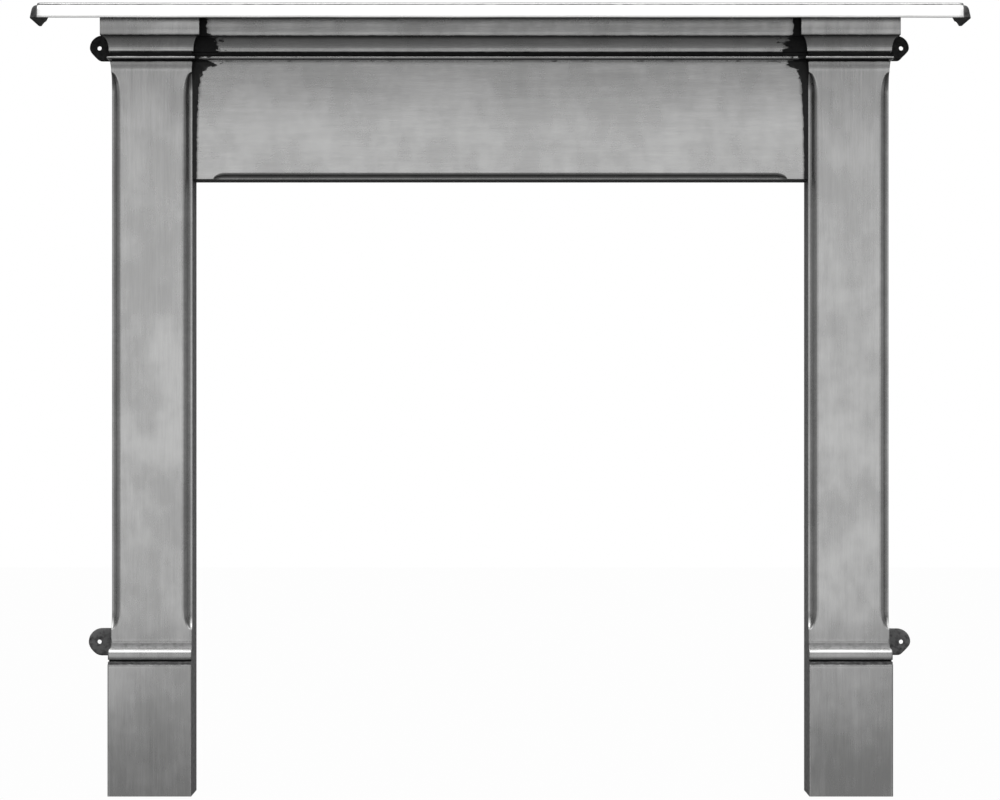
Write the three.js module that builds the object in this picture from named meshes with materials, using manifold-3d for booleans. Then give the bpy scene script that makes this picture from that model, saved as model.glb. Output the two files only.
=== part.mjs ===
// Cast iron fireplace surround: two hollow pilaster jambs, a frieze panel between them and a moulded mantel
// shelf on top, bolted together from behind. Millimetres, +Z up. The wall stands behind the surround and the
// front faces -Y. Castings are drawn with the wall plane at y = 0 and depth measured forward from it.

import * as THREE from "three";
import { mergeVertices } from "three/addons/utils/BufferGeometryUtils.js";
import Module from "manifold-3d";

const wasm = await Module();
wasm.setup();

// ---------------------------------------------------------------- driving dimensions

// Fire opening: a 36 inch square.
const OPENING_WIDTH = 914.4;
const OPENING_HEIGHT = 914.4;

// Castings.
const WALL = 6; // thickness of every cast wall
const JOINT_GAP = 0.3; // between castings, and between a fastener and what it bears on

// Jamb shaft.
const SHAFT_WIDTH = 119.8;
const SHAFT_DEPTH = 84; // wall plane to the front of the shaft
const SHAFT_HOLLOW = 13; // radius of the hollow chamfers on the two front arrises
const SHAFT_STOP_BOTTOM = 20; // length of the lower chamfer stops
const SHAFT_STOP_TOP = 34; // length of the upper chamfer stops
const SHAFT_PLAIN_BOTTOM = 14; // square arris between the base moulding and the lower stops
const SHAFT_PLAIN_TOP = 4.4; // square arris between the upper stops and the necking

// Plinth and base moulding, as projections in front of the shaft and heights.
const PLINTH_HEIGHT = 196;
const PLINTH_PROJECTION = 14;
const PLINTH_SIDE = 4; // projection of the plinth on the jamb's outer side
const PLINTH_ARRIS = 1.4; // chamfer on the plinth's top arris
const BASE_BAND = 3;
const BASE_GROOVE = 3;
const BASE_GROOVE_DEPTH = 4.5;
const BASE_FILLET = 9;
const BASE_ROLL = 7; // radius of the quarter round
const BASE_COVE = 14; // height of the hollow that dies into the shaft

// Cornice: the moulding of the capitals and of the header, from the frieze up.
const FRIEZE_HEIGHT = 174.6;
const NECKING_HEIGHT = 12;
const NECKING_FLARE = 1.6;
const LOWER_QUIRK = 2.5;
const LOWER_QUIRK_SINK = 0.8; // behind the face of the frieze
const BEAD_DIAMETER = 6.9;
const BEAD_SEAT = 3; // projection of the bead's centre
const UPPER_QUIRK = 4.6;
const QUIRK_PROJECTION = 1;
const COVE_HEIGHT = 23;
const COVE_START = 3.5;
const COVE_LIP = 1.5; // flat below the fascia's lower arris
const FASCIA_HEIGHT = 37;
const FASCIA_PROJECTION = 16;
const CAPITAL_SIDE_OUTER = 15; // projection of the capital on the jamb's outer side
const CAPITAL_SIDE_INNER = 12.5; // and on its inner side, in front of the header

// Header.
const HEADER_SETBACK = 13; // header faces lie this far behind the jambs' faces
const HEADER_HOLLOW = 9; // radius of the hollow chamfer on its lower arris
const HEADER_STOP = 12; // length of each chamfer stop
const HEADER_PLAIN_END = 33; // square arris between the jamb and the stop
const HEADER_HOUSING = 1.5; // depth of the seats in the jambs' inner returns that take its ends
const HEADER_TONGUE_RISE = 1.5; // the ends in the seats stop this far above the soffit
const END_FLANGE = 7;

// Mantel shelf.
const SHELF_PLATE = 7;
const SHELF_DROP = 16; // how far the rim hangs below the plate
const SHELF_OVERHANG_FRONT = 40; // beyond the capitals' fascia
const SHELF_OVERHANG_SIDE = 99.8;
const SHELF_CORNER = 12; // plan radius of the two front corners
const SHELF_LEAN = 2; // the lower face leans out by this much to its bottom arris
const SHELF_FACE = 9; // height of that face
const SHELF_OVOLO = 6.5; // width of the ovolo above it
const SHELF_QUIRK = 1.6; // width of the shelf of the quirk
const SHELF_TOP_FILLET = 3.8;
const SHELF_TOP_ARRIS = 1;
const SHELF_LIP = 3.2; // thickness of the rim at its bottom arris

// Wall-fixing ears on the jambs' outer sides.
const EAR_RADIUS = 19.5;
const EAR_REACH = 39.8; // from the shaft's outer side to the tip of the ear
const EAR_THICKNESS = 6;
const EAR_FILLET = 6;
const EAR_HOLE_DIAMETER = 7;
const EAR_HOLE_TIP = 14; // from the tip of the ear to the hole's centre
const LOWER_EAR_RISE = 27.5; // above the plinth
const UPPER_EAR_RISE = 27; // above the frieze

// M8 hexagon screws and washers.
const BOLT_DIAMETER = 8;
const BOLT_HOLE_CLEARANCE = 0.5; // all round the shank
const HEAD_FLATS = 13;
const HEAD_HEIGHT = 5.3;
const WASHER_DIAMETER = 16;
const WASHER_THICKNESS = 1.6;
const CHAMFER_ANGLE = THREE.MathUtils.degToRad(30);

// Cast bosses with blind holes, below the shelf and inside the header's end flanges.
const BOSS_DIAMETER = 24;
const BOSS_HEIGHT = 12;
const BOSS_HOLE_END = 5; // iron left past the end of a blind hole
const SHELF_BOLT_DEPTH = 67; // bolt line, from the wall plane
const SHELF_BOLT_SPACING = 520; // between the two screws in the header
const FLANGE_BOLT_DEPTH = 34;
const FLANGE_BOLT_LOW = 46; // above the opening
const FLANGE_BOLT_HIGH = 150;

// Facets of round forms.
const ROUND_FACETS = 32;
const SMALL_FACETS = 20;
const MOULDING_FACETS = 3;
const CUT_PAST = 2; // how far a cutting form runs past the face that it opens
const MERGE_TOLERANCE = 1e-4;

// ---------------------------------------------------------------- derived sizes

const INNER_FACE = OPENING_WIDTH / 2;
const BASE_TOP = PLINTH_HEIGHT + BASE_BAND + BASE_GROOVE + BASE_FILLET + BASE_ROLL + BASE_COVE;
const FRIEZE_TOP = OPENING_HEIGHT + FRIEZE_HEIGHT;
const NECKING_BOTTOM = FRIEZE_TOP - NECKING_HEIGHT;
const COVE_BOTTOM = FRIEZE_TOP + LOWER_QUIRK + BEAD_DIAMETER + UPPER_QUIRK;
const COVE_TOP = COVE_BOTTOM + COVE_HEIGHT;
const SEAT_LEVEL = COVE_TOP + FASCIA_HEIGHT; // where the shelf lies
const SHELF_UNDERSIDE = SEAT_LEVEL + JOINT_GAP;
const SHELF_TOP = SHELF_UNDERSIDE + SHELF_PLATE;
const SHELF_BOTTOM = SHELF_UNDERSIDE - SHELF_DROP;

const CAPITAL_DEPTH = SHAFT_DEPTH + FASCIA_PROJECTION;
const SHELF_DEPTH = CAPITAL_DEPTH + SHELF_OVERHANG_FRONT;
const SHELF_HALF = INNER_FACE + SHAFT_WIDTH + CAPITAL_SIDE_OUTER + SHELF_OVERHANG_SIDE;
const HEADER_DEPTH = SHAFT_DEPTH - HEADER_SETBACK;
const HEADER_LENGTH = OPENING_WIDTH + 2 * (HEADER_HOUSING - JOINT_GAP);

const WEB_TOP = SEAT_LEVEL - BOSS_HEIGHT;
const WEB_BOTTOM = WEB_TOP - WALL;
const BOLT_HOLE_DIAMETER = BOLT_DIAMETER + 2 * BOLT_HOLE_CLEARANCE;
const SHELF_HOLE_DEPTH = BOSS_HEIGHT + SHELF_PLATE - BOSS_HOLE_END;
const FLANGE_HOLE_DEPTH = BOSS_HEIGHT + END_FLANGE - BOSS_HOLE_END;

// ---------------------------------------------------------------- finishes

const polishedIron = new THREE.MeshStandardMaterial({ color: 0x9b9b99, roughness: 0.36, metalness: 0.95 });
const brightSteel = new THREE.MeshStandardMaterial({ color: 0x8b8c8e, roughness: 0.45, metalness: 0.9 });

// ---------------------------------------------------------------- solids

// A closed geometry as a solid that can be cut and joined.
function solidOf(geometry) {
  const loose = geometry.index ? geometry.toNonIndexed() : geometry;
  const bare = new THREE.BufferGeometry();
  bare.setAttribute("position", loose.getAttribute("position"));
  const merged = mergeVertices(bare, MERGE_TOLERANCE);
  const vertProperties = merged.getAttribute("position").array;
  const triVerts = new Uint32Array(merged.index.array);
  return new wasm.Manifold(new wasm.Mesh({ numProp: 3, vertProperties, triVerts }));
}

// A solid as a geometry with flat facets.
function geometryOf(solid) {
  const { vertProperties, triVerts } = solid.getMesh();
  const geometry = new THREE.BufferGeometry();
  geometry.setAttribute("position", new THREE.BufferAttribute(new Float32Array(vertProperties), 3));
  geometry.setIndex(new THREE.BufferAttribute(new Uint32Array(triVerts), 1));
  const faceted = geometry.toNonIndexed();
  faceted.computeVertexNormals();
  return faceted;
}

// The body through a stack of level rings, each anticlockwise from above and all with as many points.
function loft(rings) {
  const count = rings[0].length;
  const points = rings.flat();
  const cap = THREE.ShapeUtils.triangulateShape(
    rings[0].map((p) => new THREE.Vector2(p.x, p.y)),
    [],
  );
  const topStart = (rings.length - 1) * count;
  const index = [];
  for (let level = 0; level < rings.length - 1; level += 1) {
    for (let i = 0; i < count; i += 1) {
      const a = level * count + i;
      const b = level * count + ((i + 1) % count);
      index.push(a, b, b + count, a, b + count, a + count);
    }
  }
  for (const [a, b, c] of cap) {
    index.push(a, c, b);
    index.push(topStart + a, topStart + b, topStart + c);
  }
  const geometry = new THREE.BufferGeometry().setFromPoints(points);
  geometry.setIndex(index);
  return solidOf(geometry);
}

// A block between two corners.
function block(x0, y0, z0, x1, y1, z1) {
  const box = new THREE.BoxGeometry(x1 - x0, y1 - y0, z1 - z0);
  box.translate((x0 + x1) / 2, (y0 + y1) / 2, (z0 + z1) / 2);
  return solidOf(box);
}

// A round bar standing on a point, along +Z.
function roundBar(diameter, length, x, y, z, facets = SMALL_FACETS) {
  const bar = new THREE.CylinderGeometry(diameter / 2, diameter / 2, length, facets);
  bar.rotateX(Math.PI / 2);
  bar.translate(x, y, z + length / 2);
  return solidOf(bar);
}

// An upright shape, drawn as (depth, height), carried along X over a length about the middle.
function carriedAlongX(shape, length) {
  const solid = new THREE.ExtrudeGeometry(shape, { depth: length, bevelEnabled: false, curveSegments: 1 });
  const forward = new THREE.Vector3(0, -1, 0);
  const up = new THREE.Vector3(0, 0, 1);
  const along = new THREE.Vector3(-1, 0, 0);
  solid.applyMatrix4(new THREE.Matrix4().makeBasis(forward, up, along));
  solid.translate(length / 2, 0, 0);
  return solidOf(solid);
}

// The round cutter of a stopped hollow chamfer: a bar along Y whose two ends die out in half ellipses.
function stoppedHollow(radius, start, end, startStop, endStop) {
  const profile = new THREE.Path();
  profile.absellipse(0, start + startStop, radius, startStop, -Math.PI / 2, 0, false);
  profile.absellipse(0, end - endStop, radius, endStop, 0, Math.PI / 2, false);
  return new THREE.LatheGeometry(outline(profile, 2 * MOULDING_FACETS), ROUND_FACETS);
}

// ---------------------------------------------------------------- mouldings, as (projection, height) paths

// The points of a path, with those that repeat their neighbour left out.
function outline(path, divisions) {
  const points = path.getPoints(divisions);
  return points.filter((p, i) => i === 0 || p.distanceTo(points[i - 1]) > MERGE_TOLERANCE);
}

// Bead, cove and fascia, from the top of the frieze to the shelf's seat.
function addCornice(path) {
  const beadRadius = BEAD_DIAMETER / 2;
  const beadCentre = FRIEZE_TOP + LOWER_QUIRK + beadRadius;
  const coveWidth = FASCIA_PROJECTION - COVE_LIP - COVE_START;
  path.lineTo(-LOWER_QUIRK_SINK, FRIEZE_TOP);
  path.lineTo(-LOWER_QUIRK_SINK, FRIEZE_TOP + LOWER_QUIRK);
  path.lineTo(BEAD_SEAT, beadCentre - beadRadius);
  path.absellipse(BEAD_SEAT, beadCentre, beadRadius, beadRadius, -Math.PI / 2, Math.PI / 2, false);
  path.lineTo(QUIRK_PROJECTION, beadCentre + beadRadius);
  path.lineTo(QUIRK_PROJECTION, COVE_BOTTOM);
  path.lineTo(COVE_START, COVE_BOTTOM);
  path.absellipse(COVE_START + coveWidth, COVE_BOTTOM, coveWidth, COVE_HEIGHT, Math.PI, Math.PI / 2, true);
  path.lineTo(FASCIA_PROJECTION, COVE_TOP);
  path.lineTo(FASCIA_PROJECTION, SEAT_LEVEL);
}

// Plinth, groove, fillet, quarter round and the hollow that dies into the shaft.
function baseProfile() {
  const bandLevel = PLINTH_HEIGHT + BASE_BAND;
  const filletLevel = bandLevel + BASE_GROOVE;
  const rollLevel = filletLevel + BASE_FILLET;
  const bandProjection = PLINTH_PROJECTION - PLINTH_ARRIS;
  const rollStart = bandProjection - BASE_ROLL;
  const path = new THREE.Path();
  path.moveTo(PLINTH_PROJECTION, 0);
  path.lineTo(PLINTH_PROJECTION, PLINTH_HEIGHT - PLINTH_ARRIS);
  path.lineTo(bandProjection, PLINTH_HEIGHT);
  path.lineTo(bandProjection, bandLevel);
  path.lineTo(bandProjection - BASE_GROOVE_DEPTH, bandLevel);
  path.lineTo(bandProjection - BASE_GROOVE_DEPTH, filletLevel);
  path.lineTo(bandProjection, filletLevel);
  path.lineTo(bandProjection, rollLevel);
  path.absellipse(rollStart, rollLevel, BASE_ROLL, BASE_ROLL, 0, Math.PI / 2, false);
  path.absellipse(rollStart, BASE_TOP, rollStart, BASE_COVE, -Math.PI / 2, -Math.PI, true);
  return outline(path, MOULDING_FACETS);
}

// Shaft top, necking and cornice of a capital.
function capitalProfile() {
  const path = new THREE.Path();
  path.moveTo(0, NECKING_BOTTOM);
  path.lineTo(NECKING_FLARE, FRIEZE_TOP);
  addCornice(path);
  return outline(path, MOULDING_FACETS);
}

// ---------------------------------------------------------------- jamb

// One level ring of the jamb's outside: a square-cornered outline given by its three projections.
function jambRing(z, front, outer, inner) {
  const near = INNER_FACE - inner;
  const far = INNER_FACE + SHAFT_WIDTH + outer;
  return [
    new THREE.Vector3(near, 0, z),
    new THREE.Vector3(near, -SHAFT_DEPTH - front, z),
    new THREE.Vector3(far, -SHAFT_DEPTH - front, z),
    new THREE.Vector3(far, 0, z),
  ];
}

// One level ring of the jamb's hollow, with its front corners cut off behind the hollow chamfers.
function hollowRing(z, front, outer) {
  const corner = SHAFT_HOLLOW + WALL / 2;
  const near = INNER_FACE + WALL;
  const far = INNER_FACE + SHAFT_WIDTH + outer - WALL;
  const face = -SHAFT_DEPTH - front + WALL;
  return [
    new THREE.Vector3(near, CUT_PAST, z),
    new THREE.Vector3(near, face + corner, z),
    new THREE.Vector3(near + corner, face, z),
    new THREE.Vector3(far - corner, face, z),
    new THREE.Vector3(far, face + corner, z),
    new THREE.Vector3(far, CUT_PAST, z),
  ];
}

function jambOutside() {
  const base = baseProfile().map((p) =>
    jambRing(p.y, p.x, (p.x * PLINTH_SIDE) / PLINTH_PROJECTION, 0),
  );
  const capital = capitalProfile().map((p) => {
    const share = p.x / FASCIA_PROJECTION;
    return jambRing(p.y, p.x, share * CAPITAL_SIDE_OUTER, share * CAPITAL_SIDE_INNER);
  });
  return loft([...base, ...capital]);
}

// The hollow below the top web, open at the back and at the floor, and the shallow one above the web.
function jambHollow() {
  const below = loft([
    hollowRing(-CUT_PAST, PLINTH_PROJECTION, PLINTH_SIDE),
    hollowRing(PLINTH_HEIGHT - 3 * WALL, PLINTH_PROJECTION, PLINTH_SIDE),
    hollowRing(PLINTH_HEIGHT, 0, 0),
    hollowRing(COVE_BOTTOM + WALL, 0, 0),
    hollowRing(COVE_TOP + 2 * WALL, FASCIA_PROJECTION, CAPITAL_SIDE_OUTER),
    hollowRing(WEB_BOTTOM, FASCIA_PROJECTION, CAPITAL_SIDE_OUTER),
  ]);
  const above = loft([
    hollowRing(WEB_TOP, FASCIA_PROJECTION, CAPITAL_SIDE_OUTER),
    hollowRing(SEAT_LEVEL + CUT_PAST, FASCIA_PROJECTION, CAPITAL_SIDE_OUTER),
  ]);
  return below.add(above);
}

// The stopped hollow chamfer on one front arris of the shaft.
function shaftHollow(x) {
  const start = BASE_TOP + SHAFT_PLAIN_BOTTOM;
  const end = NECKING_BOTTOM - SHAFT_PLAIN_TOP;
  const cutter = stoppedHollow(SHAFT_HOLLOW, start, end, SHAFT_STOP_BOTTOM, SHAFT_STOP_TOP);
  cutter.rotateX(Math.PI / 2);
  cutter.translate(x, -SHAFT_DEPTH, 0);
  return solidOf(cutter);
}

// A round ear in the wall plane, filleted into the jamb's outer side.
function ear(z) {
  const side = INNER_FACE + SHAFT_WIDTH - WALL / 2;
  const face = INNER_FACE + SHAFT_WIDTH;
  const centre = face + EAR_REACH - EAR_RADIUS;
  const shape = new THREE.Shape();
  shape.moveTo(side, z - EAR_RADIUS - EAR_FILLET);
  shape.lineTo(face, z - EAR_RADIUS - EAR_FILLET);
  shape.absarc(face + EAR_FILLET, z - EAR_RADIUS - EAR_FILLET, EAR_FILLET, Math.PI, Math.PI / 2, true);
  shape.absarc(centre, z, EAR_RADIUS, -Math.PI / 2, Math.PI / 2, false);
  shape.absarc(face + EAR_FILLET, z + EAR_RADIUS + EAR_FILLET, EAR_FILLET, -Math.PI / 2, -Math.PI, true);
  shape.lineTo(side, z + EAR_RADIUS + EAR_FILLET);
  const plate = new THREE.ExtrudeGeometry(shape, {
    depth: EAR_THICKNESS,
    bevelEnabled: false,
    curveSegments: 2 * MOULDING_FACETS,
  });
  plate.rotateX(Math.PI / 2);
  return solidOf(plate);
}

function earHole(z) {
  const x = INNER_FACE + SHAFT_WIDTH + EAR_REACH - EAR_HOLE_TIP;
  const hole = new THREE.CylinderGeometry(
    EAR_HOLE_DIAMETER / 2,
    EAR_HOLE_DIAMETER / 2,
    EAR_THICKNESS + 2 * CUT_PAST,
    SMALL_FACETS,
  );
  hole.translate(x, -EAR_THICKNESS / 2, z);
  return solidOf(hole);
}

// The header's outline with a little room round it: it cuts the header's seat into the jamb's inner return,
// and the capital's mouldings are scribed to it.
function headerRoom() {
  return carriedAlongX(headerShape(JOINT_GAP, -JOINT_GAP), OPENING_WIDTH + 2 * HEADER_HOUSING);
}

// A round bar along X on a flange bolt's line, between two distances from the middle of the opening.
function flangeBar(diameter, side, from, to, z, facets = SMALL_FACETS) {
  const bar = new THREE.CylinderGeometry(diameter / 2, diameter / 2, to - from, facets);
  bar.rotateZ(Math.PI / 2);
  bar.translate((side * (from + to)) / 2, -FLANGE_BOLT_DEPTH, z);
  return solidOf(bar);
}

const flangeBoltLevels = [OPENING_HEIGHT + FLANGE_BOLT_LOW, OPENING_HEIGHT + FLANGE_BOLT_HIGH];
const jambBoltX = INNER_FACE + SHAFT_WIDTH / 2;
const shelfBoltPlaces = {
  left_jamb: -jambBoltX,
  header_left: -SHELF_BOLT_SPACING / 2,
  header_right: SHELF_BOLT_SPACING / 2,
  right_jamb: jambBoltX,
};

// The right-hand jamb. The left one is its mirror image.
function jamb() {
  const earLevels = [PLINTH_HEIGHT + LOWER_EAR_RISE, FRIEZE_TOP + UPPER_EAR_RISE];
  let casting = jambOutside().subtract(jambHollow());
  casting = casting.subtract(shaftHollow(INNER_FACE));
  casting = casting.subtract(shaftHollow(INNER_FACE + SHAFT_WIDTH));
  casting = casting.subtract(headerRoom());
  for (const z of earLevels) {
    casting = casting.add(ear(z)).subtract(earHole(z));
  }
  for (const z of flangeBoltLevels) {
    const hole = flangeBar(BOLT_HOLE_DIAMETER, 1, INNER_FACE - CUT_PAST, INNER_FACE + WALL + CUT_PAST, z);
    casting = casting.subtract(hole);
  }
  const webHole = roundBar(
    BOLT_HOLE_DIAMETER,
    WALL + 2 * CUT_PAST,
    jambBoltX,
    -SHELF_BOLT_DEPTH,
    WEB_BOTTOM - CUT_PAST,
  );
  return casting.subtract(webHole);
}

// ---------------------------------------------------------------- header

// The header's upright section from the wall plane forward, with a given room round it and its bottom raised.
function headerShape(room, raised) {
  const path = new THREE.Path();
  path.moveTo(0, OPENING_HEIGHT);
  path.lineTo(0, FRIEZE_TOP);
  addCornice(path);
  const front = outline(path, MOULDING_FACETS).map((p) => new THREE.Vector2(HEADER_DEPTH + room + p.x, p.y));
  const bottomBack = new THREE.Vector2(-room, OPENING_HEIGHT + raised);
  const bottomFront = new THREE.Vector2(front[0].x, OPENING_HEIGHT + raised);
  const topFront = new THREE.Vector2(front.at(-1).x, SEAT_LEVEL + room);
  const topBack = new THREE.Vector2(-room, SEAT_LEVEL + room);
  return new THREE.Shape([bottomBack, bottomFront, ...front.slice(1, -1), topFront, topBack]);
}

// The hollow behind the frieze, below the top web, with its lower corner cut off behind the chamfer.
function headerHollow() {
  const corner = HEADER_HOLLOW;
  const face = HEADER_DEPTH - WALL;
  const floor = OPENING_HEIGHT + WALL;
  const flare = FASCIA_PROJECTION;
  const shape = new THREE.Shape();
  shape.moveTo(-CUT_PAST, floor);
  shape.lineTo(face - corner, floor);
  shape.lineTo(face, floor + corner);
  shape.lineTo(face, COVE_BOTTOM + WALL);
  shape.lineTo(face + flare, COVE_TOP + 2 * WALL);
  shape.lineTo(face + flare, WEB_BOTTOM);
  shape.lineTo(-CUT_PAST, WEB_BOTTOM);
  return carriedAlongX(shape, HEADER_LENGTH - 2 * END_FLANGE);
}

function headerPanel() {
  const visible = carriedAlongX(headerShape(0, 0), OPENING_WIDTH - 2 * JOINT_GAP);
  const seated = carriedAlongX(headerShape(0, HEADER_TONGUE_RISE), HEADER_LENGTH);
  const innerHalf = HEADER_LENGTH / 2 - END_FLANGE;
  const face = HEADER_DEPTH + FASCIA_PROJECTION - WALL;
  const aboveWeb = block(-innerHalf, -face, WEB_TOP, innerHalf, CUT_PAST, SEAT_LEVEL + CUT_PAST);
  let casting = visible.add(seated).subtract(headerHollow()).subtract(aboveWeb);
  const reach = INNER_FACE - HEADER_PLAIN_END;
  const hollow = stoppedHollow(HEADER_HOLLOW, -reach, reach, HEADER_STOP, HEADER_STOP);
  hollow.rotateZ(-Math.PI / 2);
  hollow.translate(0, -HEADER_DEPTH, OPENING_HEIGHT);
  casting = casting.subtract(solidOf(hollow));
  const end = HEADER_LENGTH / 2;
  for (const side of [-1, 1]) {
    for (const z of flangeBoltLevels) {
      const bossEnd = end - END_FLANGE - BOSS_HEIGHT;
      const boss = flangeBar(BOSS_DIAMETER, side, bossEnd, end - END_FLANGE / 2, z, ROUND_FACETS);
      const hole = flangeBar(BOLT_HOLE_DIAMETER, side, end - FLANGE_HOLE_DEPTH, end + CUT_PAST, z);
      casting = casting.add(boss).subtract(hole);
    }
  }
  for (const x of [shelfBoltPlaces.header_left, shelfBoltPlaces.header_right]) {
    const z = WEB_BOTTOM - CUT_PAST;
    casting = casting.subtract(roundBar(BOLT_HOLE_DIAMETER, WALL + 2 * CUT_PAST, x, -SHELF_BOLT_DEPTH, z));
  }
  return casting;
}

// ---------------------------------------------------------------- mantel shelf

// A level outline of the shelf, inset from its widest edge at the front and both ends.
function shelfRing(z, inset, back) {
  const half = SHELF_HALF - inset;
  const front = SHELF_DEPTH - inset;
  const radius = SHELF_CORNER;
  const shape = new THREE.Shape();
  shape.moveTo(-half, back);
  shape.lineTo(-half, -front + radius);
  shape.absarc(-half + radius, -front + radius, radius, Math.PI, 1.5 * Math.PI, false);
  shape.absarc(half - radius, -front + radius, radius, -Math.PI / 2, 0, false);
  shape.lineTo(half, back);
  return outline(shape, MOULDING_FACETS).map((p) => new THREE.Vector3(p.x, p.y, z));
}

// Edge moulding as (inset, height): leaning face, ovolo, quirk and top fillet.
function shelfEdge() {
  const faceTop = SHELF_BOTTOM + SHELF_FACE;
  const quirkLevel = SHELF_TOP - SHELF_TOP_FILLET;
  const ovoloEnd = SHELF_LEAN + SHELF_OVOLO;
  const filletInset = ovoloEnd + SHELF_QUIRK;
  const path = new THREE.Path();
  path.moveTo(0, SHELF_BOTTOM);
  path.lineTo(SHELF_LEAN, faceTop);
  path.absellipse(ovoloEnd, faceTop, SHELF_OVOLO, quirkLevel - faceTop, Math.PI, Math.PI / 2, true);
  path.lineTo(filletInset, quirkLevel);
  path.lineTo(filletInset, SHELF_TOP - SHELF_TOP_ARRIS);
  path.lineTo(filletInset + SHELF_TOP_ARRIS, SHELF_TOP);
  return outline(path, 2 * MOULDING_FACETS);
}

function mantelShelf() {
  const outside = loft(shelfEdge().map((p) => shelfRing(p.y, p.x, 0)));
  const pocketTop = SHELF_LEAN + SHELF_OVOLO + SHELF_LIP;
  const pocket = loft([
    shelfRing(SHELF_BOTTOM - CUT_PAST, SHELF_LIP, CUT_PAST),
    shelfRing(SHELF_BOTTOM, SHELF_LIP, CUT_PAST),
    shelfRing(SHELF_UNDERSIDE, pocketTop, CUT_PAST),
  ]);
  let casting = outside.subtract(pocket);
  for (const x of Object.values(shelfBoltPlaces)) {
    const boss = roundBar(
      BOSS_DIAMETER,
      BOSS_HEIGHT + SHELF_PLATE / 2,
      x,
      -SHELF_BOLT_DEPTH,
      SHELF_UNDERSIDE - BOSS_HEIGHT,
      ROUND_FACETS,
    );
    const hole = roundBar(
      BOLT_HOLE_DIAMETER,
      CUT_PAST + SHELF_HOLE_DEPTH,
      x,
      -SHELF_BOLT_DEPTH,
      SHELF_UNDERSIDE - BOSS_HEIGHT - CUT_PAST,
    );
    casting = casting.add(boss).subtract(hole);
  }
  return casting;
}

// ---------------------------------------------------------------- fasteners, standing along +Z

// A hexagon with its outer corners turned off at 30 degrees.
function hexagon(height) {
  const circumradius = HEAD_FLATS / Math.sqrt(3);
  const drop = (circumradius - HEAD_FLATS / 2) * Math.tan(CHAMFER_ANGLE);
  const prism = new THREE.CylinderGeometry(circumradius, circumradius, height, 6);
  const profile = [
    new THREE.Vector2(0, -height / 2),
    new THREE.Vector2(circumradius, -height / 2),
    new THREE.Vector2(circumradius, height / 2 - drop),
    new THREE.Vector2(HEAD_FLATS / 2, height / 2),
    new THREE.Vector2(0, height / 2),
  ];
  const turned = new THREE.LatheGeometry(profile, 2 * SMALL_FACETS);
  const head = solidOf(prism).intersect(solidOf(turned));
  const geometry = geometryOf(head);
  geometry.rotateX(Math.PI / 2);
  geometry.translate(0, 0, height / 2);
  return geometry;
}

// A bolt whose head stands on the ground plane, with its shank below it.
function boltGeometry(length) {
  const shank = roundBar(BOLT_DIAMETER, length + HEAD_HEIGHT / 2, 0, 0, -length);
  return geometryOf(solidOf(hexagon(HEAD_HEIGHT)).add(shank));
}

function washerGeometry() {
  const inner = BOLT_HOLE_DIAMETER / 2;
  const outer = WASHER_DIAMETER / 2;
  const profile = [
    new THREE.Vector2(inner, 0),
    new THREE.Vector2(outer, 0),
    new THREE.Vector2(outer, WASHER_THICKNESS),
    new THREE.Vector2(inner, WASHER_THICKNESS),
    new THREE.Vector2(inner, 0),
  ];
  const washer = new THREE.LatheGeometry(profile, SMALL_FACETS);
  washer.rotateX(Math.PI / 2);
  return geometryOf(solidOf(washer));
}

// ---------------------------------------------------------------- assembly

function named(name, geometry, material) {
  const mesh = new THREE.Mesh(geometry, material);
  mesh.name = name;
  return mesh;
}

const surround = new THREE.Group();
surround.position.y = SHELF_DEPTH / 2;

const jambGeometry = geometryOf(jamb());
const rightJamb = named("right_jamb", jambGeometry, polishedIron);
const leftJamb = named("left_jamb", jambGeometry, polishedIron);
leftJamb.scale.x = -1;
surround.add(leftJamb, rightJamb);
surround.add(named("header_panel", geometryOf(headerPanel()), polishedIron));
surround.add(named("mantel_shelf", geometryOf(mantelShelf()), polishedIron));

// Every screw stands on its washer with its shank through a hole in one casting, into a boss of another.
const headSeat = WASHER_THICKNESS + 2 * JOINT_GAP;
const jambWall = WALL + INNER_FACE - HEADER_LENGTH / 2; // from the header's end to the inside of the jamb
const headerBolt = boltGeometry(headSeat + jambWall + FLANGE_HOLE_DEPTH - JOINT_GAP);
const shelfBolt = boltGeometry(headSeat + WALL + JOINT_GAP + SHELF_HOLE_DEPTH - JOINT_GAP);
const washer = washerGeometry();

// A screw and its washer, with +Z of the set pointing out of the hole that they close.
function fastening(kind, place, bolt) {
  const set = new THREE.Group();
  const seatedWasher = named(`${kind}_washer_${place}`, washer, brightSteel);
  seatedWasher.position.z = JOINT_GAP;
  const seatedBolt = named(`${kind}_bolt_${place}`, bolt, brightSteel);
  seatedBolt.position.z = headSeat;
  set.add(seatedWasher, seatedBolt);
  return set;
}

// Header screws, from inside the jambs' hollows into the bosses of the header's end flanges.
for (const [sideName, side] of [["left", -1], ["right", 1]]) {
  flangeBoltLevels.forEach((z, row) => {
    const set = fastening("header", `${sideName}_${["lower", "upper"][row]}`, headerBolt);
    set.position.set(side * (INNER_FACE + WALL), -FLANGE_BOLT_DEPTH, z);
    set.rotation.y = (side * Math.PI) / 2;
    surround.add(set);
  });
}

// Shelf screws, from below the top webs into the shelf's bosses.
for (const [place, x] of Object.entries(shelfBoltPlaces)) {
  const set = fastening("shelf", place, shelfBolt);
  set.position.set(x, -SHELF_BOLT_DEPTH, WEB_BOTTOM);
  set.rotation.x = Math.PI;
  surround.add(set);
}

const fireplaceSurround = new THREE.Group();
fireplaceSurround.add(surround);

export default fireplaceSurround;
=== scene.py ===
import functools
import logging
import math
from dataclasses import dataclass, field
from enum import Enum

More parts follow.
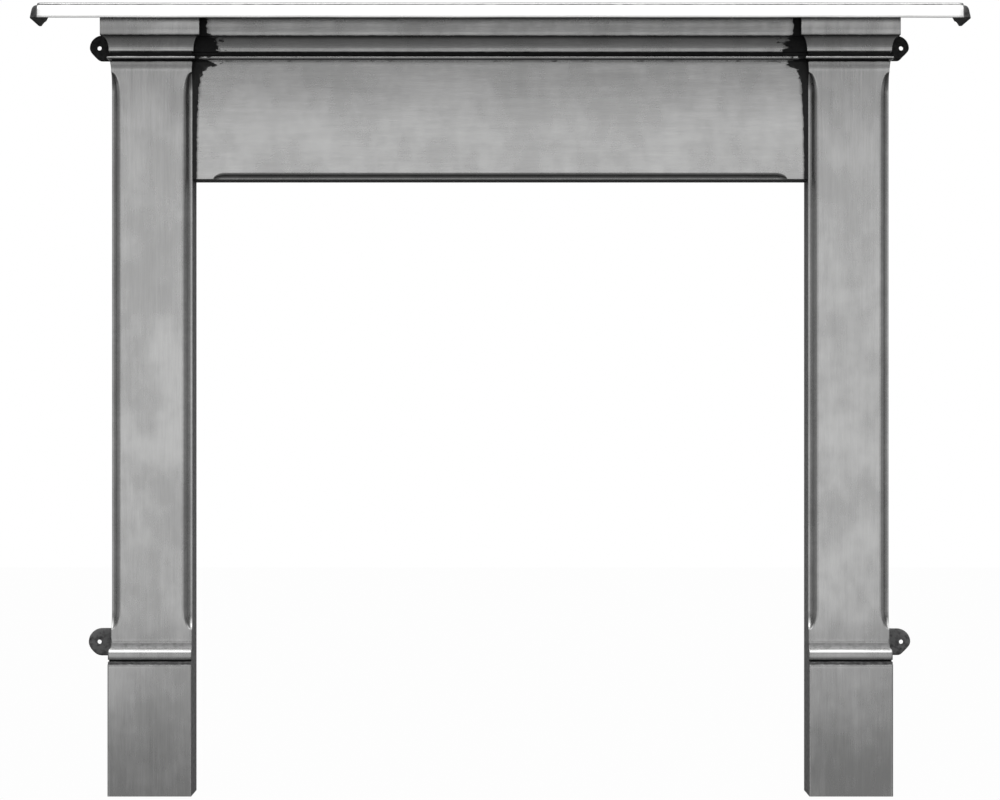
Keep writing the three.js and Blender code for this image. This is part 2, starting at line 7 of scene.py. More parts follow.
import bpy
import numpy as np
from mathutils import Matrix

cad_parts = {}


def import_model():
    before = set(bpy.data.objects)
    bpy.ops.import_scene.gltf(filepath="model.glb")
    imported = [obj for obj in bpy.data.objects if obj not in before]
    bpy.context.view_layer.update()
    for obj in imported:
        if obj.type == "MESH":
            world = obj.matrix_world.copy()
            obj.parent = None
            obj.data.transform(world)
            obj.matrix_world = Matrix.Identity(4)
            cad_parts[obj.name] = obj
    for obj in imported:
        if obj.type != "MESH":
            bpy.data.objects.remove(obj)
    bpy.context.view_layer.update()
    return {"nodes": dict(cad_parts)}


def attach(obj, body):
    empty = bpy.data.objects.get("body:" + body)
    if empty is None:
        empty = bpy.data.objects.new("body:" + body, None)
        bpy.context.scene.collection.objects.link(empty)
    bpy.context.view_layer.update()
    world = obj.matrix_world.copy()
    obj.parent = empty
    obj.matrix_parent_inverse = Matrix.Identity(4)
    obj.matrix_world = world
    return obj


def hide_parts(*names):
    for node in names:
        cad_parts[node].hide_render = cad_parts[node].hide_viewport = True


logging.basicConfig(level=logging.INFO, format="%(levelname)s %(message)s")
LOG = logging.getLogger("surround")

MM = 0.001
WALL_PLANE = 0.070  # metres: where the wall stands in the shared frame
SHARP = math.radians(40)  # an edge that turns further than this is shaded sharp
AS_CAST = -20.0  # reach of a surface that the polishing wheel never met
POLISHED = 30.0  # reach of a surface well inside the polish
EDGE = 0.5  # a surface with less reach than this has the tone of the polish's edge
RAGGED = 2.0  # how far the edge of the polish wanders where nothing else is said, in millimetres
HIDDEN_TONE = 0.45  # how light the skin of the hollows is
ARRIS_EASE = 0.55  # easing radius of the mouldings' arrises, in millimetres
WEB_EASE = 1.6  # easing radius of the webs and flanges, in millimetres


class Hand(Enum):
    """Which side of the fire a piece stands on."""

    LEFT = -1
    RIGHT = 1


class Slot(Enum):
    """The record's material slots."""

    POLISHED = "polished_iron"
    SHELF = "polished_shelf_iron"
    STEEL = "fastener_steel"


# ---------------------------------------------------------------- the shared sizes, in millimetres


@dataclass(frozen=True)
class Datum:
    """Levels and depths that all four castings share.

    Between the flare's levels the hollows widen behind the coves. From the roll's start up, over the roll's
    height, the fascias lean forward.
    """

    inner_face: float = 457.2
    opening_top: float = 914.4
    frieze_top: float = 1089.0
    necking_bottom: float = 1077.0
    seat: float = 1163.0
    web_bottom: float = 1145.0
    web_top: float = 1151.0
    flare_start: float = 1109.0
    flare_end: float = 1138.0
    roll_start: float = 1143.0
    roll_height: float = 9.0
    joint: float = 0.3
    wall: float = 6.0
    shaft_width: float = 119.8
    shaft_depth: float = 84.0
    header_depth: float = 71.0
    fascia: float = 16.0


DATUM = Datum()


# ---------------------------------------------------------------- curves and surfaces


def unit(vectors: np.ndarray) -> np.ndarray:
    """Each row divided by its own length."""
    return vectors / np.maximum(np.linalg.norm(vectors, axis=-1, keepdims=True), 1e-9)


def smoothstep(x: np.ndarray, low: float, high: float) -> np.ndarray:
    """0 below low, 1 above high, and the cubic 3t^2 - 2t^3 between them."""
    t = np.clip((x - low) / (high - low), 0.0, 1.0)
    return t * t * (3.0 - 2.0 * t)


def arc(centre: tuple, radii: tuple, start: float, end: float, count: int) -> np.ndarray:
    """Points of an elliptical arc: centre + (a cos t, b sin t), with t in degrees from start to end."""
    t = np.radians(np.linspace(start, end, count))
    return np.column_stack([centre[0] + radii[0] * np.cos(t), centre[1] + radii[1] * np.sin(t)])


def eased(points: np.ndarray, radius: float | np.ndarray, steps: int = 3) -> np.ndarray:
    """A polyline with every corner eased.

    Each corner P becomes the quadratic curve (1-t)^2 A + 2t(1-t) P + t^2 B, where A and B lie the easing
    radius away from P along its two sides, or 0.42 of a side where that is shorter.

    Args:
        points: the corners, as (n, 2).
        radius: the easing radius, one for all corners or one for each inner corner.
        steps: how many pieces each eased corner has.

    Returns:
        The eased polyline as (m, 2), with its first and last points kept.
    """
    longest_share = 0.42
    before, corner, after = points[:-2], points[1:-1], points[2:]
    back, on = before - corner, after - corner
    reach = np.minimum(np.linalg.norm(back, axis=1), np.linalg.norm(on, axis=1)) * longest_share
    reach = np.minimum(reach, radius)[:, None]
    start, end = corner + unit(back) * reach, corner + unit(on) * reach
    t = np.linspace(0, 1, steps + 1)[None, :, None]
    curve = (1 - t) ** 2 * start[:, None] + 2 * t * (1 - t) * corner[:, None] + t**2 * end[:, None]
    return np.vstack([points[:1], curve.reshape(-1, 2), points[-1:]])


def along(path: np.ndarray) -> np.ndarray:
    """The distance along a polyline at each of its points."""
    return np.concatenate([[0.0], np.cumsum(np.linalg.norm(np.diff(path, axis=0), axis=1))])


def refined(path: np.ndarray, spacing: float, extra: np.ndarray | None = None) -> np.ndarray:
    """A polyline with more points, linear between its own, so that no step is longer than the spacing.

    Args:
        path: the polyline as (n, 2).
        spacing: the longest step.
        extra: more distances along it that get a point.

    Returns:
        The same line with all those points.
    """
    own, closest = along(path), 0.2
    more = np.arange(0, own[-1], spacing)
    if extra is not None:
        more = np.r_[more, extra]
    gap = np.abs(more[:, None] - own[None, :]).min(1)
    at = np.sort(np.r_[own, np.unique(more[gap > closest])])
    return np.column_stack([np.interp(at, own, path[:, 0]), np.interp(at, own, path[:, 1])])


@dataclass
class Surface:
    """The finish of a grid of points.

    Attributes:
        reach: millimetres inside the polished area, negative on iron that is as cast.
        tone: how bright the iron is, from 0 to 1.
        ragged: how far the edge of the polish wanders, in millimetres.
    """

    reach: np.ndarray
    tone: np.ndarray
    ragged: np.ndarray

    @classmethod
    def polished(cls, shape: tuple, tone: np.ndarray | float) -> "Surface":
        """A surface that is polished all over."""
        return cls(np.full(shape, POLISHED), tone + np.zeros(shape), np.full(shape, RAGGED))

    def cut(
        self,
        where: np.ndarray | bool,
        reach: np.ndarray | float,
        tone: np.ndarray | float,
        ragged: np.ndarray | float = RAGGED,
    ) -> None:
        """Lowers the reach, and where that makes the edge of the polish it sets its tone and raggedness.

        Args:
            where: the points that it may change.
            reach: the new reach, taken where it is lower than the old one.
            tone: how light the iron is at the edge and beyond it.
            ragged: how far the edge wanders, in millimetres.
        """
        nearer = where & (reach < self.reach)
        self.tone = np.where(where & (reach < EDGE), tone, self.tone)
        self.ragged = np.where(nearer, ragged, self.ragged)
        self.reach = np.where(nearer, reach, self.reach)

    def cut_bands(self, height: np.ndarray, bands: tuple) -> None:
        """Cuts lines between two levels each, given as (low, high, tone)."""
        for low, high, tone in bands:
            self.cut(True, outside(height, low, high), tone)


@dataclass(frozen=True)
class PaintedLight:
    """Painted light or shade: a change of tone that grows smoothly from none at its start to its full amount
    at its end.
    """

    amount: float
    start: float
    end: float

    def over(self, z: np.ndarray) -> np.ndarray:
        """The change at each height. It grows downwards where the end is the lower level."""
        way = math.copysign(1.0, self.end - self.start)
        return self.amount * smoothstep(way * z, way * self.start, way * self.end)


def outside(height: np.ndarray, low: float, high: float) -> np.ndarray:
    """How far a height is outside a band, negative inside it."""
    return np.maximum(low - height, height - high)


def bell(count: int, centre: float, width: float) -> np.ndarray:
    """exp(-((t - centre) / width)^2) for count places t from 0 to 1."""
    return np.exp(-(((np.linspace(0, 1, count) - centre) / width) ** 2))


def at_heights(z: np.ndarray, pairs: tuple) -> np.ndarray:
    """The values of (height, value) pairs at each height, linear between them."""
    return np.interp(z, *zip(*pairs))


@dataclass
class Shell:
    """A closed surface: points as (x, depth from the wall plane, height) in millimetres, with its faces."""

    points: np.ndarray
    quads: np.ndarray
    polygons: list = field(default_factory=list)
    reach: np.ndarray | None = None
    tone: np.ndarray | None = None
    ragged: np.ndarray | None = None

    def outward(self) -> "Shell":
        """The same shell with its faces pointing out.

        The volume is the sum over triangles of a . (b x c) / 6, and its sign says which way they point.

        Returns:
            The shell itself.
        """
        p = self.points * np.array([1.0, -1.0, 1.0])
        q = self.quads
        fans = [np.column_stack([np.full(len(g) - 2, g[0]), g[1:-1], g[2:]]) for g in self.polygons]
        tris = np.vstack([q[:, [0, 1, 2]], q[:, [0, 2, 3]], *fans])
        a, b, c = p[tris[:, 0]], p[tris[:, 1]], p[tris[:, 2]]
        if np.einsum("ij,ij->i", a, np.cross(b, c)).sum() < 0:
            self.quads = q[:, ::-1]
            self.polygons = [g[::-1] for g in self.polygons]
        return self

    def mirrored(self) -> "Shell":
        """The shell on the other side of the opening's centre line."""
        self.points = self.points * np.array([-1.0, 1.0, 1.0])
        return self


def grid_quads(rows: int, columns: int, wrap_columns: bool, wrap_rows: bool = False) -> np.ndarray:
    """The cells of a grid of points, numbered row by row.

    Args:
        rows: how many rows it has.
        columns: how many points a row has.
        wrap_columns: whether each row closes on itself.
        wrap_rows: whether the last row joins the first.

    Returns:
        (cells, 4) corner numbers.
    """
    i = np.arange(rows if wrap_rows else rows - 1)[:, None]
    j = np.arange(columns if wrap_columns else columns - 1)[None, :]
    i2, j2 = (i + 1) % rows, (j + 1) % columns
    cells = [i * columns + j, i * columns + j2, i2 * columns + j2, i2 * columns + j]
    return np.stack(np.broadcast_arrays(*cells), axis=-1).reshape(-1, 4)


def channel(outer: np.ndarray, inner: np.ndarray, surface: "Surface") -> Shell:
    """A closed channel section carried through its rows.

    Each row is the outer line followed by the inner line backwards, which closes it. The two ends are
    strips between the two lines.

    Args:
        outer: (rows, n, 3) points of the outside.
        inner: (rows, n, 3) points of the hollow, each behind the outer point of the same number.
        surface: the outside's finish at each point. The hollow is as cast.

    Returns:
        The closed shell.
    """
    rows, n = outer.shape[:2]
    points = np.concatenate([outer, inner[:, ::-1]], axis=1)
    hidden = (AS_CAST, HIDDEN_TONE, RAGGED)
    given = (surface.reach, surface.tone, surface.ragged)
    values = [np.concatenate([a, np.full((rows, n), b)], axis=1).ravel() for a, b in zip(given, hidden)]
    walls = grid_quads(rows, 2 * n, True)
    j = np.arange(n - 1)
    strip = np.column_stack([j, j + 1, 2 * n - 2 - j, 2 * n - 1 - j])
    ends = np.vstack([strip[:, ::-1], strip + (rows - 1) * 2 * n])
    return Shell(points.reshape(-1, 3), np.vstack([walls, ends]), [], *values).outward()


def closed_rings(points: np.ndarray) -> Shell:
    """An as-cast shell through level or upright rings of points, with a flat face at each end.

    Args:
        points: (rings, count, 3) points.

    Returns:
        The closed shell.
    """
    rings, count = points.shape[:2]
    caps = [np.arange(count)[::-1], np.arange(count) + (rings - 1) * count]
    shell = Shell(points.reshape(-1, 3), grid_quads(rings, count, True), caps)
    shell.reach = np.full(len(shell.points), AS_CAST)
    return shell.outward()


def slab(low: tuple, high: tuple, radius: float) -> Shell:
    """A block with eased edges.

    Point = inner corner + radius * direction, where the direction runs over a sphere in eight octants and
    the inner corner jumps with the signs of the octant, which leaves flat faces between the eased edges.

    Args:
        low: lowest corner as (x, depth, height).
        high: highest corner.
        radius: easing radius of every edge.

    Returns:
        The closed shell, as cast.
    """
    low, high = np.array(low, float), np.array(high, float)
    centre, half = (low + high) / 2, (high - low) / 2 - radius
    steps = 4
    turn = np.radians(np.concatenate([np.linspace(90 * k, 90 * k + 90, steps) for k in range(4)]))
    side = np.repeat(np.array([[1, 1], [-1, 1], [-1, -1], [1, -1]]), steps, axis=0)
    rise = np.array([0, 25, 50, 76])
    lift, up = np.radians(np.r_[-rise[::-1], rise]), np.repeat([-1, 1], steps)
    ring = np.column_stack([np.cos(turn), np.sin(turn)])
    points = np.zeros((len(lift), len(turn), 3))
    points[..., :2] = side[None] * half[:2] + radius * ring[None] * np.cos(lift)[:, None, None]
    points[..., 2] = (up * half[2] + radius * np.sin(lift))[:, None]
    return closed_rings(points + centre)


def turned(profile: np.ndarray, centre: tuple, axis: int, count: int = 40) -> Shell:
    """A turned form: (radius, height) points carried round an axis, closed by a flat disc at each end.

    Args:
        profile: (n, 2) radii and heights along the axis.
        centre: where height 0 is.
        axis: 0 to turn about x, 2 to turn about the upright.
        count: facets round it.

    Returns:
        The closed shell, as cast.
    """
    turn = np.linspace(0, 2 * np.pi, count, endpoint=False)
    points = np.zeros((len(profile), count, 3))
    first, second = [a for a in range(3) if a != axis]
    points[..., first] = profile[:, :1] * np.cos(turn)
    points[..., second] = profile[:, :1] * np.sin(turn)
    points[..., axis] = profile[:, 1:]
    return closed_rings(points + np.array(centre))


def boss(centre: tuple, axis: int, end: float, root: float, diameter: float = 24.0) -> Shell:
    """A cast boss: a drafted round with an eased rim and a filleted root.

    Args:
        centre: a point on its axis.
        axis: 0 where it points along x, 2 where it is upright.
        end: where its free end is along the axis.
        root: where the wall that it stands on is.
        diameter: its diameter at the root.

    Returns:
        The closed shell, as cast.
    """
    radius, way = diameter / 2, math.copysign(1.0, root - end)
    flat, draft, fillet, spread, sunk = 3.0, 0.4, 2.5, 3.0, 2.0
    line = np.array([
        [radius - flat, end],
        [radius - draft, end],
        [radius, root - way * fillet],
        [radius + spread, root],
        [radius + spread, root + way * sunk],
    ])
    line[:, 1] -= centre[axis]
    return turned(eased(line, 1.5, 4), centre, axis)


def hand_waver(x: np.ndarray, z: np.ndarray, amount: float, phase: float) -> np.ndarray:
    """How far hand polishing leaves a face from flat, in millimetres.

    The sum of four sines: one of x, bent by a slow sine of z, one of z, bent by a slow sine of x, a slanting
    one of x + z, and a very long one of z.

    Args:
        x: places across the face.
        z: heights.
        amount: what the sum is multiplied by.
        phase: shifts the sines, so that no two faces are alike.

    Returns:
        The waver at each point.
    """
    across = 0.5 * np.sin(x / 23 + 0.9 * np.sin(z / 71 + phase) + phase)
    upward = 0.7 * np.sin(z / 57 + 1.7 * phase + 0.8 * np.sin(x / 41))
    slanting = 0.3 * np.sin((x + z) / 33 + 2.3 * phase)
    longest = 0.9 * np.sin(z / 139 + 0.7 * phase)
    return amount * (across + upward + slanting + longest)


def fascia_roll(z: np.ndarray) -> np.ndarray:
    """How far a fascia's top leans forward: 0.0075 h^2, with h the height above the roll's start."""
    return 0.0075 * np.clip(z - DATUM.roll_start, 0.0, DATUM.roll_height) ** 2


def at(first: np.ndarray, second: np.ndarray) -> np.ndarray:
    """(rows, 2) points of a section from their two coordinates."""
    return np.column_stack([first, second])


def joined(parts: list) -> tuple:
    """The parts of a section as one (rows, n, 2) array, and the column where each part starts."""
    return np.concatenate(parts, axis=1), np.cumsum([0] + [part.shape[1] for part in parts])


class Casting:
    """What every iron casting does: gather its shells, make the mesh and take its finish."""

    node: str
    slot: Slot
    plain_tone = 0.25

    def shells(self) -> list[Shell]:
        """The closed shells that make up the casting."""
        raise NotImplementedError

    def build(self, finish: "IronFinish") -> bpy.types.Object:
        """Makes the mesh object, with the reach, tone and raggedness of every point as attributes.

        Args:
            finish: the casting's finish.

        Returns:
            The finished object, riding on the frame in place of its CAD node.
        """
        shells = self.shells()
        starts = np.cumsum([0] + [len(s.points) for s in shells])
        for shell in shells:
            shell.tone = np.full(len(shell.points), self.plain_tone) if shell.tone is None else shell.tone
            shell.ragged = np.full(len(shell.points), RAGGED) if shell.ragged is None else shell.ragged
        points = np.vstack([s.points for s in shells])
        world = np.column_stack([points[:, 0] * MM, WALL_PLANE - points[:, 1] * MM, points[:, 2] * MM])
        faces: list = []
        for start, shell in zip(starts, shells):
            faces += (shell.quads + start).tolist()
            faces += [(polygon + start).tolist() for polygon in shell.polygons]
        mesh = bpy.data.meshes.new(self.node + "_looks")
        mesh.from_pydata(world.tolist(), [], faces)
        for label in ("reach", "tone", "ragged"):
            values = np.concatenate([getattr(shell, label) for shell in shells]).astype(np.float32)
            mesh.attributes.new(label, "FLOAT", "POINT").data.foreach_set("value", values)
        mesh.polygons.foreach_set("use_smooth", np.ones(len(mesh.polygons), bool))
        mesh.set_sharp_from_angle(angle=SHARP)
        mesh.materials.append(finish.material())
        piece = bpy.data.objects.new(self.node + "_casting", mesh)
        bpy.context.scene.collection.objects.link(piece)
        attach(piece, "root")
        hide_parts(self.node)
        LOG.info("%s: %d shells, %d points, %d faces", piece.name, len(shells), len(points), len(faces))
        return piece


# ---------------------------------------------------------------- mouldings


@dataclass(frozen=True)
class Cornice:
    """Bead, cove and fascia, from the frieze's top up, as projections in front of the frieze.

    The bead swells most at its centre, or as far below that as the drop says.
    """

    quirk: float = 2.5
    quirk_sink: float = 0.8
    bead: float = 3.45
    bead_seat: float = 3.0
    bead_drop: float = 0.0
    bead_sweep: float = 80.0
    upper_quirk: float = 4.6
    upper_quirk_projection: float = 1.0
    cove_start: float = 3.5
    cove_height: float = 23.0
    cove_width: float = 11.0

    def line(self) -> np.ndarray:
        """The moulding's corners, from the top of the frieze to the shelf's seat.

        Returns:
            (n, 2) points as (projection, height).
        """
        z = DATUM.frieze_top
        bead_centre = z + self.quirk + self.bead
        top = bead_centre + self.bead
        cove = top + self.upper_quirk
        start = [(-self.quirk_sink, z), (-self.quirk_sink, z + self.quirk), (self.bead_seat, z + self.quirk)]
        swell = (self.bead_seat, bead_centre - self.bead_drop)
        low_half = arc(swell, (self.bead, self.bead - self.bead_drop), -self.bead_sweep, 0, 6)
        high_half = arc(swell, (self.bead, self.bead + self.bead_drop), 0, self.bead_sweep, 7)
        sunk = self.upper_quirk_projection
        quirk = [(self.bead_seat, top), (sunk, top), (sunk, cove)]
        cove_centre = (self.cove_start + self.cove_width, cove)
        hollow = arc(cove_centre, (self.cove_width, self.cove_height), 180, 90, 12)
        fascia = [(DATUM.fascia, cove + self.cove_height), (DATUM.fascia, DATUM.seat)]
        return np.vstack([start, low_half, high_half[1:], quirk, hollow, fascia])


@dataclass(frozen=True)
class Base:
    """Plinth, groove, fillet, quarter round and hollow at the foot of a jamb."""

    height: float = 196.0
    projection: float = 14.0
    side: float = 4.0
    arris: float = 1.4
    band: float = 3.0
    groove: float = 3.0
    groove_depth: float = 4.5
    fillet: float = 9.0
    roll: float = 7.0
    cove: float = 14.0

    @property
    def top(self) -> float:
        """The level where the hollow dies into the shaft."""
        return self.height + self.band + self.groove + self.fillet + self.roll + self.cove

    def line(self) -> np.ndarray:
        """The corners from the floor to the shaft.

        Returns:
            (n, 2) points as (projection, height).
        """
        face = self.projection - self.arris
        level = self.height + self.band
        roll_level = level + self.groove + self.fillet
        seat = face - self.roll
        low = [
            (self.projection, 0.0),
            (self.projection, self.height - self.arris),
            (face, self.height),
            (face, level),
            (face - self.groove_depth, level),
            (face - self.groove_depth, level + self.groove),
            (face, level + self.groove),
            (face, roll_level),
        ]
        round_part = arc((seat, roll_level), (self.roll, self.roll), 10, 90, 8)
        hollow = arc((seat, self.top), (seat, self.cove), -82, -180, 8)
        return np.vstack([low, round_part, hollow])


@dataclass(frozen=True)
class StoppedHollow:
    """A hollow chamfer that dies out in a half ellipse at each end."""

    radius: float
    start: float
    end: float
    start_stop: float
    end_stop: float
    arris: float = 1.1
    side_ease: float = 1.0
    full: float = 2.2

    def size(self, place: np.ndarray) -> np.ndarray:
        """The chamfer's radius: R sqrt(1 - t^2) in a stop, with t from 0 at its root to 1 at its tip.

        Args:
            place: places along the chamfer.

        Returns:
            The radius at each, but never less than the arris.
        """
        low = np.clip((self.start + self.start_stop - place) / self.start_stop, 0, 1)
        high = np.clip((place - self.end + self.end_stop) / self.end_stop, 0, 1)
        t = np.maximum(low, high)
        return np.maximum(self.radius * np.sqrt(1 - t * t), self.arris)

    def hollowness(self, place: np.ndarray) -> np.ndarray:
        """0 where the corner is an eased arris, 1 where it is a full hollow."""
        return smoothstep(self.size(place), self.arris * 1.02, self.arris + self.full)

    def eases(self, place: np.ndarray) -> tuple:
        """How far the easing of the side arris and of the front arris runs past them."""
        size, bend = self.size(place), self.hollowness(place)
        return np.minimum(self.side_ease, 0.3 * size) * bend, 0.15 * size * bend

    def levels(self) -> np.ndarray:
        """Where the shape changes fast: cosine-spaced places in both stops."""
        t = 1 - np.cos(np.linspace(0.04, np.pi / 2, 13))
        return np.r_[self.start + self.start_stop * t, self.end - self.end_stop * t]


def hollow_corner(
    side: np.ndarray,
    front: np.ndarray,
    corner: np.ndarray,
    bend: np.ndarray,
    ease: float,
    ledge: float = 0.7,
) -> np.ndarray:
    """The line from a side to a front round a corner.

    Where bend is 0 it is an eased arris, the quadratic curve with the corner as its control point. Where bend
    is 1 it is a polished hollow. That is a cubic curve which leaves the side square to it, as a narrow ledge,
    sinks steeply and runs out flat into the front, 1.15 times the hollow's size from the corner. A quadratic
    curve eases the side's arris. In between, the two lines are blended point by point.

    Args:
        side: (rows, 2) where the hollow meets the side.
        front: (rows, 2) where the square hollow would meet the front.
        corner: (rows, 2) the square corner.
        bend: (rows,) 0 for an arris, 1 for a hollow.
        ease: easing radius of the side's arris, in millimetres.
        ledge: how far up the ledge stands, from about 0.6 to 0.9.

    Returns:
        (rows, 25, 2) points.
    """
    rounded, floor, run_out = 0.16, 0.45, 1.15
    along_side, along_front = (side - corner)[:, None], (front - corner)[:, None]
    round_share = np.minimum(ease / np.linalg.norm(along_side, axis=2, keepdims=True), 0.3)
    t = np.linspace(0, 1, 25)[None, :, None]
    arris = (1 - t) ** 2 * along_side + t**2 * along_front
    b = np.clip((t - rounded) / (1 - rounded), 0, 1)
    first, second, third, last = (1 - b) ** 3, 3 * b * (1 - b) ** 2, 3 * b**2 * (1 - b), b**3
    across = first * round_share + second * ledge + third * floor + last * run_out
    a = np.clip(t / rounded, 0, 1)
    across = np.where(t < rounded, a**2 * round_share, across)
    sunk = np.where(t < rounded, 1 + (1 - a) ** 2 * round_share, first + second)
    share = bend[:, None, None]
    return corner[:, None] + arris * (1 - share) + (across * along_front + sunk * along_side) * share


def straight(start: np.ndarray, end: np.ndarray, count: int, eased_ends: bool = False) -> np.ndarray:
    """Points on the straight line from start to end of each row, without the two ends themselves.

    Args:
        start: (rows, 2) where the lines start.
        end: (rows, 2) where they end.
        count: how many points each line gets.
        eased_ends: whether they stand closer together near the ends.

    Returns:
        (rows, count, 2) points.
    """
    t = np.linspace(0, 1, count + 2)[1:-1]
    if eased_ends:
        t = 0.5 - 0.5 * np.cos(np.pi * t)
    return start[:, None] * (1 - t[None, :, None]) + end[:, None] * t[None, :, None]


# ---------------------------------------------------------------- jambs


EAR_SECTION = (  # share of the way from the hole to the rim, and the depth there
    (0.0, 0.2), (0.0, 5.4), (0.03, 5.9), (0.1, 6.1), (0.4, 6.2), (0.78, 6.0),
    (0.9, 5.8), (0.97, 5.2), (1.0, 4.0), (1.0, 0.0), (0.5, 0.0),
)


@dataclass(frozen=True)
class Ear:
    """A wall ear: a round plate with a hole, filleted into the jamb's side.

    Attributes:
        level: the height of its centre.
        reach: how far it stands out from the jamb's side.
        radius: the radius of its round end.
        droop: how far its lower rim is pulled in towards a triangle.
        tone: how light its skin is; low on the upper ears and high on the lower ears, as painted shade and
            light.
        hole: how far the middle of its hole is from the jamb's side.
        eye: the hole's radius.
        fillet: the radius where it runs into the jamb.
        sunk: how far it goes into the jamb's wall.
    """

    level: float
    reach: float
    radius: float
    droop: float
    tone: float
    hole: float = 25.8
    eye: float = 3.3
    fillet: float = 6.0
    sunk: float = 3.0

    def outline(self, side: float) -> np.ndarray:
        """The plate's outline in the wall plane, from its lower root round its end to its upper root.

        Args:
            side: where the jamb's side is.

        Returns:
            (n, 2) points as (x, height).
        """
        low, high = self.level - self.radius - self.fillet, self.level + self.radius + self.fillet
        centre = side + self.reach - self.radius
        line = np.vstack([
            [(side - self.sunk, low)],
            arc((side + self.fillet, low), (self.fillet, self.fillet), 180, 90, 6),
            arc((centre, self.level), (self.radius, self.radius), -90, 90, 29),
            arc((side + self.fillet, high), (self.fillet, self.fillet), -90, -180, 6),
            [(side - self.sunk, high)],
        ])
        below = smoothstep(self.level - line[:, 1], 0.0, self.radius)
        line[:, 0] -= self.droop * below * smoothstep(line[:, 0], centre, side + self.reach)
        return line

    def shell(self) -> Shell:
        """The ear's surface.

        Its points run from the hole's edge to the outline along straight rays, and its section goes up the
        hole, over the eased front, down the rim and back along the wall plane.

        Returns:
            The closed ring-shaped shell, as cast, on the right-hand side.
        """
        side = DATUM.inner_face + DATUM.shaft_width
        line = self.outline(side)
        hole = np.array([side + self.hole, self.level])
        closed = np.vstack([line, line[:1]])
        places = along(closed)
        even = np.linspace(0, places[-1], 88, endpoint=False)
        rim = np.column_stack([np.interp(even, places, closed[:, 0]), np.interp(even, places, closed[:, 1])])
        angle = np.maximum.accumulate(np.unwrap(np.arctan2(*(rim - hole).T[::-1])))
        angle = angle[0] + (angle - angle[0]) * 2 * np.pi / (angle[-1] - angle[0] + 0.05)
        eye = hole + self.eye * np.column_stack([np.cos(angle), np.sin(angle)])
        share, depth = np.array(EAR_SECTION).T
        points = np.zeros((len(share), len(rim), 3))
        points[..., ::2] = eye[None] + share[:, None, None] * (rim - eye)[None]
        points[..., 1] = depth[:, None]
        flat = points.reshape(-1, 3)
        shade = np.repeat(self.tone * np.interp(depth, [5.0, 5.9], [0.35, 1.0]), len(rim))
        quads = grid_quads(len(share), len(rim), True, True)
        return Shell(flat, quads, [], np.full(len(flat), AS_CAST), shade).outward()


LOWER_EAR, UPPER_EAR = 223.5, 1116.0
# painted light and shade: the lower ears' skin is lighter and the upper ears' darker, under the capital
EARS = {
    Hand.LEFT: (Ear(LOWER_EAR, 42.0, 20.6, 2.0, 0.95), Ear(UPPER_EAR, 40.4, 19.5, 5.0, 0.3)),
    Hand.RIGHT: (Ear(LOWER_EAR, 39.6, 20.0, 6.0, 0.95), Ear(UPPER_EAR, 37.6, 19.0, 7.0, 0.3)),
}


